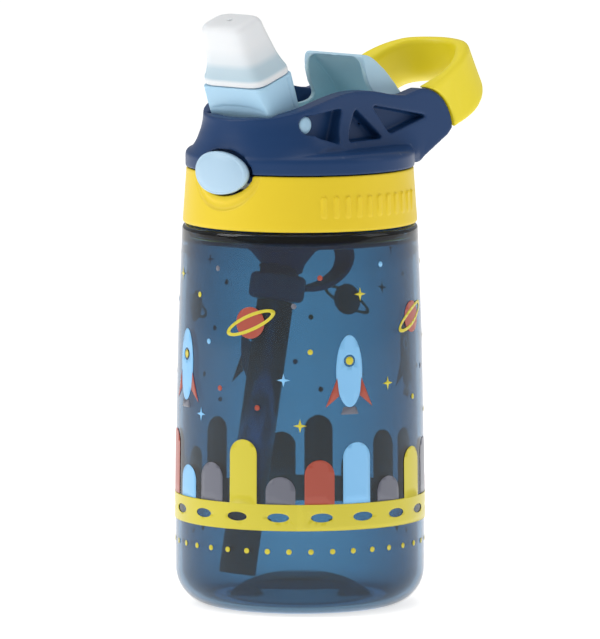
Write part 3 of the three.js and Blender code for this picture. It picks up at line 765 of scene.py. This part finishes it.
def nose_ring(half_width, front, power, rear, z, flare=0.0, cove=0.0, steps=56):
    """Plan ring of the raised part. The round nose is wider by flare, the arms by cove."""
    reach = NOSE_Y - front
    ring_points = []
    for k in range(steps + 1):
        t = -math.pi / 2 + math.pi * k / steps
        u = math.copysign(abs(math.sin(t)) ** (2 / power), math.sin(t))
        v = abs(math.cos(t)) ** (2 / power)
        ring_points.append(((half_width + flare) * u, NOSE_Y - reach * v, z))
    sides = []
    for k in range(1, 25):
        t = k / 24
        fade = min(1.0, (rear - NOSE_Y) * t / 17)
        fade = fade * fade * (3 - 2 * fade)
        y = NOSE_Y + (rear - NOSE_Y) * t
        end = min(1.0, max(0.0, (30 - y) / 12))
        sides.append((half_width + flare * (1 - fade) + cove * fade * end, y))
    ring_points += [(x, y, z) for x, y in sides]
    return ring_points + [(-x, y, z) for x, y in reversed(sides)]


def arm_outline(grow=0.0):
    crest = smooth_line([(-31.5, 144.5), (-26, 145.4), (-19, 147.3), (-10, 149.7), (0, 151.4),
                         (9, 151.2), (18, 149.6), (24, 149)], 5)
    joint_arc = arc(JUNCTION[0], JUNCTION[1], JUNCTION[2] + grow, 90, 5, 20)
    return ([(-36, 130.6), (-36, 144.3)] + [tuple(p) for p in crest] + joint_arc
            + [(42.0, 136.2), (29.4, 129.1), (27, 129.0), (25, 130.6)])


def spout_outline(grow, top):
    return ([(SPOUT_FRONT - grow, top), (-7.1 - grow, 5.5)] + arc(0, 0, 6.3 + grow, 180, 360, 24)
            + [(6.3 + grow, 5), (SPOUT_REAR + grow, top)])


SPOUT_FRONT, SPOUT_REAR = -8.4, 7.0
SPOUT_TILT = math.radians(18.7)
spout_place = (Matrix.Translation((0, *spout_pivot)) @ Matrix.Rotation(SPOUT_TILT, 4, "X"))
truss_windows = [
    [(-18.2, 145.4, 1.7), (-3.8, 147, 1.7), (-7.2, 136.6, 1.4), (-16.3, 139.4, 1.7)],
    [(1.6, 146.6, 1.7), (13.6, 137, 1.4), (-2.4, 137, 1.4)],
    [(8.9, 147, 1.7), (33.4, 142.4, 1.7), (16.7, 138, 1.4)],
]

# %% Build the lid shell
skirt = turned(rounded([
    (0, 131.2), (31.4, 131.2), (31.4, 128.8, 0.1), (33.5, 128.8, 0.2), (33.5, 133.2, 1.0),
    (32.0, 134.4, 1.2), (29, 134.8), (0, 134.8)], 8, False), 256)
FLARE = [(128.8, -33.1, 7.4, 5.0), (131.6, -33.1, 7.4, 5.0), (133.0, -33.0, 6.7, 3.6),
         (134.0, -32.8, 5.8, 2.4), (135.2, -32.6, 4.5, 1.2), (137.0, -32.2, 3.0, 0.4),
         (139.0, -31.9, 1.9, 0.0), (141.0, -31.6, 1.0, 0.0), (145.0, -31.3, 0.2, 0.0),
         (156.0, -31.3, 0.2, 0.0)]
flare_rings = [nose_ring(ARM_OUTER, front, 2, 46, z, flare, cove)
               for z, front, flare, cove in smooth_line(FLARE, 4)]
lid_shell = blank("lid_shell_fine", lofted(flare_rings))
arms_side = pushed(arm_outline(), -24, 24, "yz")
combined(lid_shell, "INTERSECT", arms_side)
combined(lid_shell, "UNION", skirt)
well = lofted([nose_ring(ARM_INNER, -27.8, 2.4, 30.2, z) for z in (133.2, 160)])
tools = [well, slab((-ARM_INNER, 33.6, 120), (ARM_INNER, 50, 160)),
         slab((-ARM_INNER, 29, 144), (ARM_INNER, 34, 160)),
         pushed(upright_ellipse(BUTTON_HALF + 0.35, 6.65, button_z), -42, -29.5, "xz"),
         slab((-6.5, -33, collar_high), (6.5, -28, 131.2)),
         slab((-3.5, -6.8, 129), (3.5, 0.4, 136)),
         rod((0, spout_pivot[0], 129), (0, spout_pivot[0], 136), 4.8),
         rod((-24, *spout_pivot), (24, *spout_pivot), 2.2)]
clearance = pushed(spout_outline(0.7, 21.9), -12.6, 12.6, "yz")
bmesh.ops.transform(clearance, verts=clearance.verts, matrix=spout_place)
tools.append(clearance)
for side in (-1, 1):
    tools.append(rod((side * 16.4, *spout_pivot), (side * 24, *spout_pivot), 2.9))
    tools.append(rod((side * 9, *cover_hinge), (side * 16.6, *cover_hinge), 2.0))
    low, high = sorted((side * 16.1, side * 19.5))
    tools.append(slab((low, 36.7, 139.7), (high, 45, 144.8)))
    for window in truss_windows:
        low, high = sorted((side * (ARM_OUTER - 3.6), side * 26))
        tools.append(pushed(rounded(window, 10), low, high, "yz"))
combined(lid_shell, "DIFFERENCE", *tools)
moulded(lid_shell, 0.36, 7)
lid_shell.data.materials.append(navy)
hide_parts("lid_shell")
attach(lid_shell, "lid")

# %% [markdown]
# ## The carry loop
# The loop is a wide band that bridges from one arm to the other behind the lid. It leans
# inwards at the back and has a soft, rubbery section. Extruding a U would leave it flat, so
# a rounded section is drawn at a few places along the U and the skin runs through them all.
# A cylinder then cuts its ends to fit the round ends of the arms.

# %% Build the loop
LOOP_CENTRE = 46.8
LOOP_LINE = 18.8
# Each row: y, then distance and height of outer bottom, outer top, inner top, inner bottom.
LOOP_SECTIONS = [
    (28, 20.9, 135.0, 20.9, 149.6, 15.5, 149.1, 15.5, 136.0),
    (36, 20.9, 135.2, 20.9, 152.6, 15.5, 151.6, 15.5, 136.9),
    (40, 21.0, 135.6, 20.8, 154.5, 15.4, 152.8, 15.4, 138.9),
    (44, 21.3, 136.9, 20.2, 156.5, 15.2, 154.2, 15.6, 141.2),
    (49, 21.8, 139.0, 19.2, 158.8, 14.7, 156.9, 15.8, 144.4),
    (54, 22.3, 141.6, 18.2, 160.6, 14.0, 159.4, 16.0, 147.4),
    (58, 22.7, 144.4, 17.6, 161.7, 13.6, 160.9, 16.2, 148.9),
    (61, 22.9, 146.9, 17.2, 162.3, 13.3, 161.7, 16.3, 149.7),
    (66, 22.9, 148.4, 16.8, 162.6, 13.0, 162.3, 16.4, 150.2)]


def loop_section(y):
    """Corners of the band where its line is at y: it leans inwards towards the back."""
    line = [tuple(row) for row in smooth_line(LOOP_SECTIONS, 6)]
    for low, high in zip(line, line[1:]):
        if y <= high[0]:
            t = (y - low[0]) / max(1e-6, high[0] - low[0])
            values = [a + (b - a) * t for a, b in zip(low, high)]
            break
    else:
        values = line[-1]
    return rounded([(values[k], values[k + 1], 3.4) for k in (1, 3, 5, 7)], 7)


stations = [(28 + 16 * k / 12, 0.0) for k in range(12)]
stations += [(min(66.0, LOOP_CENTRE + LOOP_LINE * math.sin(math.pi * k / 60)), math.pi * k / 60)
             for k in range(61)]
stations += [(y, math.pi) for y, _ in reversed(stations[:12])]
loop_rings = []
for y, turn in stations:
    straight = y < 44.01 and turn in (0.0, math.pi)
    across, along = math.cos(turn), 0.0 if straight else math.sin(turn)
    centre = y if straight else LOOP_CENTRE
    loop_rings.append([(r * across, centre + r * along, z) for r, z in loop_section(y)])
loop = blank("loop_band", lofted(loop_rings))
joint = rod((-26, *JUNCTION[:2]), (26, *JUNCTION[:2]), JUNCTION[2] + 0.3, 160)
combined(loop, "DIFFERENCE", joint)
for side in (-1, 1):
    low, high = sorted((side * 16.4, side * 19.2))
    combined(loop, "UNION", slab((low, 37, 140), (high, 45, 144.5)))
moulded(loop, 0.4, 5)
loop.data.materials.append(loop_yellow)
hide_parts("carry_loop")
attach(loop, "lid")

# %% [markdown]
# ## The spout
# The spout swings on two short pins. Its foot is hard pale plastic, round under the pins so
# that it can roll over the seal, and its mouthpiece is soft silicone pushed over a spigot.
# Silicone glows a little, because light wanders inside it, so it gets subsurface scattering
# and some transmission. A wall this thick would hide the spigot, so a ramp along the spout
# adds a faint blue where the spigot stands behind it.

# %% More finishes
def silicone_material():
    """White silicone, tinted along the spout where the blue spigot stands behind it."""
    material = plastic("silicone", "F3F5F7", "EDF0F3", 0.42, grain=0.25, subsurface=0.35)
    tree = material.node_tree
    shader = tree.nodes["Principled BSDF"]
    shader.inputs["Transmission Weight"].default_value = 0.15
    shader.inputs["IOR"].default_value = 1.41
    place = tree.nodes.new("ShaderNodeTexCoord")
    away = tree.nodes.new("ShaderNodeVectorMath")
    away.operation = "SUBTRACT"
    away.inputs[1].default_value = (0, axis_y + spout_pivot[0] * MM, spout_pivot[1] * MM)
    along = tree.nodes.new("ShaderNodeVectorMath")
    along.operation = "DOT_PRODUCT"
    along.inputs[1].default_value = (0, -math.sin(SPOUT_TILT), math.cos(SPOUT_TILT))
    height = tree.nodes.new("ShaderNodeMapRange")
    height.inputs["From Min"].default_value = 14 * MM
    height.inputs["From Max"].default_value = 26 * MM
    ramp = tree.nodes.new("ShaderNodeValToRGB")
    stops = ramp.color_ramp.elements
    for position, level in ((0.13, 0.0), (0.21, 0.95), (0.46, 0.85), (0.62, 0.25)):
        stops.new(position).color = (level, level, level, 1)
    stops[0].color = stops[-1].color = (0, 0, 0, 1)
    base = shader.inputs["Base Color"]
    tree.links.new(place.outputs["Object"], away.inputs[0])
    tree.links.new(away.outputs["Vector"], along.inputs[0])
    tree.links.new(along.outputs["Value"], height.inputs["Value"])
    tree.links.new(height.outputs["Result"], ramp.inputs["Fac"])
    tree.links.new(mixed(tree, ramp.outputs["Color"], base.links[0].from_socket,
                         linear("BBD3DF")), base)
    return material


silicone = silicone_material()
spigot_blue = plastic("spigot plastic", "9FBBD6", "98B5D2", 0.4)
hood_outside = plastic("hood plastic", "B4D5E6", "ACCFE2", 0.34, subsurface=0.15)
hood_inside = plastic("hood inside", "C6E6EE", "BEE0EA", 0.42, subsurface=0.1)
dark_navy = plastic("dark navy plastic", "2C4270", "304878", 0.45, specular=0.3)
straw_clear = see_through("straw plastic", "A9B9D2", "A2B3CE", 0.2, ior=1.45)

# %% Spout foot, spigot and mouthpiece


def mouth_ring(a, b, z, power=3.2, steps=96):
    """Ring of a rounded rectangle: a superellipse."""
    ring_points = []
    for k in range(steps):
        t = 2 * math.pi * k / steps
        ring_points.append((a * math.copysign(abs(math.cos(t)) ** (2 / power), math.cos(t)),
                            b * math.copysign(abs(math.sin(t)) ** (2 / power), math.sin(t)), z))
    return ring_points


BASE_TOP = 13.9
SPOUT_HALF = 11.9
MOUTH_Y = (SPOUT_FRONT + SPOUT_REAR) / 2


def mouth(a, b, z, power=3.2, lean=0.0):
    """A ring of the mouthpiece, which leans forward towards its tip."""
    return [(x, y + MOUTH_Y - lean, h) for x, y, h in mouth_ring(a, b, z, power)]


foot = blank("spout_foot", pushed(spout_outline(0, BASE_TOP), -SPOUT_HALF, SPOUT_HALF, "yz"))
plan = rounded_box(-SPOUT_HALF, SPOUT_HALF, SPOUT_FRONT, SPOUT_REAR, 3, 12)
combined(foot, "INTERSECT", pushed(plan, -10, 20, "xy"))
scoop = pushed(upright_ellipse(15, 4.6, 3.6), -9.5, -7.2, "xz")
combined(foot, "DIFFERENCE", scoop, rod((0, 0, -12), (0, 0, 24), 2.6),
         slab((11.4, 3.4, 3.0), (12.9, 3.9, 13.0)), slab((-12.9, 3.4, 3.0), (-11.4, 3.9, 13.0)),
         rod((9.9, 0, 0), (13, 0, 0), 2.2), rod((-13, 0, 0), (-9.9, 0, 0), 2.2))
foot.data.transform(spout_place)
moulded(foot, 0.24, 5)
foot.data.materials.append(sky_plastic)
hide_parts("spout_base")
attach(foot, "spout")

spigot = lofted([mouth(7.6, 4.4, z, 2.2) for z in (BASE_TOP - 1, BASE_TOP + 5.6)]
                + [mouth(7.2, 4.0, BASE_TOP + 6, 2.2)])
spigot_piece = blank("spout_spigot", spigot)
combined(spigot_piece, "DIFFERENCE", rod((0, 0, 0), (0, 0, 24), 2.6))
spigot_piece.data.transform(into_frame @ spout_place)
spigot_piece.data.materials.append(spigot_blue)
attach(spigot_piece, "spout")

bottom = BASE_TOP + 0.3
mouth_rows = [(11.9, 7.7, bottom, 5, 0), (11.95, 7.75, bottom + 1.2, 5, 0),
              (11.8, 7.65, bottom + 2.2, 5, 0), (10.9, 7.35, bottom + 4.0, 4.6, 0.05),
              (10.0, 7.1, 20.6, 4.2, 0.15), (9.4, 6.8, 24, 4, 0.45), (8.9, 6.45, 27.5, 4, 0.85),
              (8.6, 6.2, 30.6, 4, 1.2), (8.45, 6.0, 31.4, 4, 1.3)]
skin = [mouth(*row) for row in smooth_line(mouth_rows, 5)]
skin += [mouth(8.45 - inset, 6.0 - inset, z, 3.8, 1.3)
         for inset, z in ((0.2, 31.9), (0.6, 32.35), (1.2, 32.65), (2.2, 32.8), (4, 32.85))]
mouthpiece = blank("mouthpiece", lofted(skin))
hollow = lofted([mouth(7.8, 4.6, bottom - 1, 2.2), mouth(7.8, 4.6, BASE_TOP + 6.2, 2.2)])
channel = lofted([mouth(6.6, 3.8, BASE_TOP + 6, 2.2), mouth(5.6, 3.4, 25, 2.2, 0.5),
                  mouth(5.3, 3.1, 30.6, 2.2, 1.2)])
combined(mouthpiece, "DIFFERENCE", hollow, channel,
         rod((0, MOUTH_Y - 1.3, 29), (0, MOUTH_Y - 1.3, 36), 0.8))
mouthpiece.data.transform(spout_place)
moulded(mouthpiece, 0.24, 4)
mouthpiece.data.materials.append(silicone)
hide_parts("spout_mouthpiece")
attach(mouthpiece, "spout")

# %% Spout pins with domed heads
for side, node in ((-1, "spout_pin_left"), (1, "spout_pin_right")):
    profile = rounded([(0, 10.2), (1.9, 10.2, 0.3), (1.9, 16.7), (2.6, 16.7, 0.2),
                       (2.6, 18.4, 0.5), (1.6, 18.9, 0.6), (0, 18.9)], 6, False)
    pin = turned(profile, 64)
    turn = Matrix.Rotation(math.pi / 2 * side, 4, "Y")
    bmesh.ops.transform(pin, verts=pin.verts,
                        matrix=Matrix.Translation((0, *spout_pivot)) @ turn)
    pin = mesh_object(f"pin_{'left' if side < 0 else 'right'}", pin)
    pin.data.materials.append(sky_plastic)
    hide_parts(node)
    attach(pin, "lid")

# %% [markdown]
# ## The hood
# The hood covers the spout when it is shut. It is a thin curved shell, made by keeping the
# overlap of its side outline and its front outline, then taking away a smaller copy. The
# inside faces look teal, because they are deep in shade and tinted, so the faces that point
# into the hollow get a second material.

# %% Build the hood
hinge_y, hinge_z = cover_hinge
HOOD_HALF = 14.6
HOOD_PIN = 1.7
hood_side = rounded([
    (14.3, 161.0, 1.2), (17.6, 160.5, 3), (24.8, 154.9, 6), (31.2, 147.4, 4), (28.8, 140.6, 6),
    (17.5, 134.3, 4), (9, 134.6, 3), (hinge_y - 3.9, hinge_z - 3.4, 3.6),
    (hinge_y - 3.2, hinge_z + 3.0, 3), (13.5, 145.2, 3), (20.0, 146.6, 3), (15.2, 153.6, 6)], 12)
hood_hollow = rounded([
    (6, 166), (13.6, 166), (14.4, 160.6, 2), (17.0, 158.8, 2.5), (23.6, 153.5, 5), (29.4, 147, 4),
    (27.2, 141.6, 5), (17, 136, 3), (-4, 136), (-4, 160.4)], 12)


def hood_front(inset):
    return rounded([
        (-HOOD_HALF + inset, 130), (HOOD_HALF - inset, 130), (HOOD_HALF - inset, 145.2, 2),
        (12.7 - inset, 149, 4), (11.9 - inset, 161.7 - inset, 4),
        (-11.9 + inset, 161.7 - inset, 4), (-12.7 + inset, 149, 4),
        (-HOOD_HALF + inset, 145.2, 2)], 12)


hood = blank("hood", pushed(hood_side, -16, 16, "yz"))
combined(hood, "INTERSECT", pushed(hood_front(0), -10, 40, "xz"))
inner_solid = blank("hood_cutter", pushed(hood_hollow, -15, 15, "yz"))
combined(inner_solid, "INTERSECT", pushed(hood_front(1.6), -12, 42, "xz"))
cutter = bmesh.new()
cutter.from_mesh(inner_solid.data)
cutter_mesh = inner_solid.data
bpy.data.objects.remove(inner_solid)
bpy.data.meshes.remove(cutter_mesh)
combined(hood, "DIFFERENCE", cutter, rod((-16, *cover_hinge), (16, *cover_hinge), 2.0),
         slab((-3, 5, 133), (3, 14, 137)), slab((-1.2, 10, 160.3), (1.2, 15.2, 164)))
for x in (-2.6, 2.6):
    combined(hood, "UNION", pushed([(18.2, 135.6), (25.4, 142.6), (24.6, 143.3), (17.6, 136.6)],
                                   x - 0.6, x + 0.6, "yz"))
moulded(hood, 0.26, 5)
hood.data.materials.append(hood_outside)
hood.data.materials.append(hood_inside)
centre_y, centre_z = 15.0, 148.5  # the middle of the hollow
inside_faces = 0
for face in hood.data.polygons:
    x, y, z = face.center.x / MM, (face.center.y - axis_y) / MM, face.center.z / MM
    towards = Vector((-x * 0.6, centre_y - y, centre_z - z))
    if face.normal.dot(towards) > 1.0 and abs(x) < HOOD_HALF - 1.0 and z < 159.8:
        face.material_index = 1
        inside_faces += 1
print("hood inside faces:", inside_faces)
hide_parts("flip_cover")
for side, node in ((-1, "cover_pin_left"), (1, "cover_pin_right")):
    pin = rod((side * 9.3, *cover_hinge), (side * 16.5, *cover_hinge), HOOD_PIN)
    pin = mesh_object(f"hood_{node[6:]}", pin)
    pin.data.materials.append(steel)
    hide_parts(node)
    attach(pin, "lid")
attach(hood, "cover")

# %% [markdown]
# ## The release button
# The button is a pale oval that stands in its pocket with a dark gap all round. A flat
# extruded oval would look like a coin, so its face follows the round wall of the lid and
# also bulges, which a dome of rings gives: each ring is a smaller oval pushed further out.

# %% Build the button
BUTTON_TALL = 6.3
BUTTON_FACE = 36.1  # distance of the face from the bottle's axis


def button_ring(scale, out, steps=128):
    ring_points = []
    for k in range(steps):
        t = 2 * math.pi * k / steps
        x, z = BUTTON_HALF * scale * math.cos(t), BUTTON_TALL * scale * math.sin(t)
        y = -math.sqrt((BUTTON_FACE + out) ** 2 - x * x)
        ring_points.append((x, y, button_z + z))
    return ring_points


# The first rings curve the back like the wall behind it, so that a full press clears it.
dome = [(0.04, -2.2), (0.5, -2.2), (0.85, -2.2), (1.0, -2.1), (1.0, -1.3), (0.992, -0.95),
        (0.975, -0.72), (0.95, -0.6), (0.925, -0.56), (0.91, -0.6), (0.895, -0.62),
        (0.87, -0.55), (0.8, -0.38), (0.65, -0.2), (0.45, -0.07), (0.2, 0.0), (0.04, 0.0)]
button = mesh_object("button", lofted([button_ring(*row) for row in dome]))
button.data.materials.append(pale_sky)
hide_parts("button_cap")
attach(button, "button")

# %% [markdown]
# ## What hangs inside
# Under the lid hang the plug, the funnel that takes the straw, the straw and a soft strap.
# They are only seen through the tinted wall, so plain turned and swept pieces are enough,
# but they have to be there: their dark shapes are what the clear plastic shows.

# %% Plug, funnel, straw, strap
STRAW_TOP = (-7.0, 107.0)
STRAW_LEAN = math.atan2(20, 98)
straw_place = (into_frame @ Matrix.Translation((0, *STRAW_TOP))
               @ Matrix.Rotation(-STRAW_LEAN, 4, "X"))
plug = turned(rounded([
    (3.6, 107), (27.2, 107, 0.5), (28.7, 108.6, 1.2), (28.7, 126.4), (31.8, 126.4, 0.2),
    (31.8, 128.0, 0.2), (26.5, 128.0), (26.5, 109), (3.6, 109)], 5), 160)
plug = mesh_object("lid_plug", plug)
plug.data.materials.append(dark_navy)
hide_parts("lid_base")
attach(plug, "lid")

funnel = turned(rounded([
    (3.0, 106.7), (10.4, 106.7, 0.4), (10.2, 105.2, 0.8), (7.9, 102.8, 2), (6, 100.2, 2),
    (5.4, 97.6, 0.4), (3.0, 97.6)], 5), 96, (0, STRAW_TOP[0]))
funnel = mesh_object("straw_funnel", funnel)
sleeve = turned(rounded([
    (2.9, -27), (3.9, -27, 0.4), (3.9, -17.3), (7.2, -17.3, 0.6), (8.1, -16.2, 0.6),
    (8.1, -10.8, 0.6), (7.2, -9.7, 0.6), (5.7, -9.7), (5.7, -4), (2.9, -4)], 5), 96)
sleeve = mesh_object("straw_sleeve", sleeve, straw_place)
straw = turned([(4.2, -98), (5.3, -98), (5.3, -17.6), (4.2, -17.6)], 96)
straw = mesh_object("straw", straw, straw_place)
for piece, material, name in ((funnel, dark_navy, "navy"), (sleeve, dark_navy, "navy"),
                              (straw, straw_clear, "straw")):
    piece.data.materials.append(material)
    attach(piece, "lid")
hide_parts("straw_connector")
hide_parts("straw_tube")

strap_line = smooth_line([(18.5, 104.6), (19.3, 101), (17.3, 96.6), (12, 93.6), (6, 92.4),
                          (0.2, 92.6)], 8)
strap_rings = []
for k, at in enumerate(strap_line):
    back, ahead = strap_line[max(k - 1, 0)], strap_line[min(k + 1, len(strap_line) - 1)]
    along = (ahead - back).normalized()
    side = Vector((0, -along.y, along.x))
    half = 3.6 - 1.2 * k / (len(strap_line) - 1)
    outline = rounded_box(-half, half, -0.9, 0.9, 0.5, 3)
    strap_rings.append([tuple(Vector((x, at.x, at.y)) + side * d) for x, d in outline])
strap = mesh_object("strap", lofted(strap_rings))
strap.data.materials.append(dark_navy)
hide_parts("vent_tether")
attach(strap, "lid")

# %% Finishes for the pieces the frame already has
KEPT = {
    "lid_gasket": silicone, "flow_tube": navy, "spout_seat_seal": silicone,
    "spout_spring": steel, "cover_spring": steel, "latch_slider": navy, "button_spring": steel,
    "vent_valve": silicone,
}
for node, material in KEPT.items():
    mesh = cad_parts[node].data
    mesh.materials.clear()
    mesh.materials.append(material)
print("kept nodes:", len(KEPT))

# %% [markdown]
# ## Studio
# The bottle stands on a pale sweep under large, soft lights. A small hard lamp would put
# hot spots on the gloss, so each light is an area lamp about as wide as the subject is
# tall, or larger. The world adds an even, almost white fill.

# %% Floor, world and lamps
bpy.ops.mesh.primitive_plane_add(size=14, location=(0, 0, 0))
floor = bpy.context.object
floor.name = "studio_floor"
floor_white = plastic("studio white", "F4F4F4", "F2F2F2", 0.7, patches=0.0, bump=0.0)
floor_shader = floor_white.node_tree.nodes["Principled BSDF"]
floor_shader.inputs["Emission Color"].default_value = (1.0, 1.0, 1.0, 1.0)
floor_shader.inputs["Emission Strength"].default_value = 0.68
floor.data.materials.append(floor_white)

scene = bpy.context.scene
world = bpy.data.worlds.new("studio world")
scene.world = world
world.use_nodes = True
world.node_tree.nodes["Background"].inputs["Color"].default_value = (1.0, 1.0, 1.0, 1.0)
world.node_tree.nodes["Background"].inputs["Strength"].default_value = 0.42


LAMP_AIM = 0.09


def aimed(thing, place, height):
    """Stand a lamp or camera at place, looking at the bottle's axis at a height."""
    thing.location = place
    look = Vector((0, axis_y, height)) - place
    thing.rotation_euler = look.to_track_quat("-Z", "Y").to_euler()
    bpy.context.collection.objects.link(thing)


def soft_box(name, azimuth, height, distance, size, power):
    """An area lamp at a plan angle (degrees from -Y towards +X) that looks at the bottle."""
    turn = math.radians(azimuth)
    place = Vector((distance * math.sin(turn), axis_y - distance * math.cos(turn), height))
    data = bpy.data.lights.new(name, "AREA")
    data.shape = "RECTANGLE"
    data.size, data.size_y = size
    data.energy = power
    aimed(bpy.data.objects.new(name, data), place, LAMP_AIM)


soft_box("key left", -35, 0.75, 0.95, (0.5, 0.9), 5)
soft_box("fill right", 125, 0.6, 0.95, (0.5, 0.8), 1.4)
soft_box("overhead", 43, 1.2, 0.05, (0.9, 0.9), 3.5)

# %% [markdown]
# ## Camera
# A product shot flattens perspective with a long lens from far away, so the camera stands
# three and a half metres off, level with a person's desk view and a little above.

# %% Place the camera
CAMERA = {"azimuth": 43.0, "distance": 3.5, "height": 0.469, "aim": 0.0834, "lens": 722.0}
turn = math.radians(CAMERA["azimuth"])
eye = Vector((CAMERA["distance"] * math.sin(turn), axis_y - CAMERA["distance"] * math.cos(turn),
              CAMERA["height"]))
camera_data = bpy.data.cameras.new("camera")
camera_data.lens = CAMERA["lens"]
camera_data.sensor_fit = "HORIZONTAL"
camera_data.sensor_width = 36.0
camera_data.clip_end = 50.0
camera = bpy.data.objects.new("camera", camera_data)
aimed(camera, eye, CAMERA["aim"])
scene.camera = camera
scene.view_settings.view_transform = "Standard"
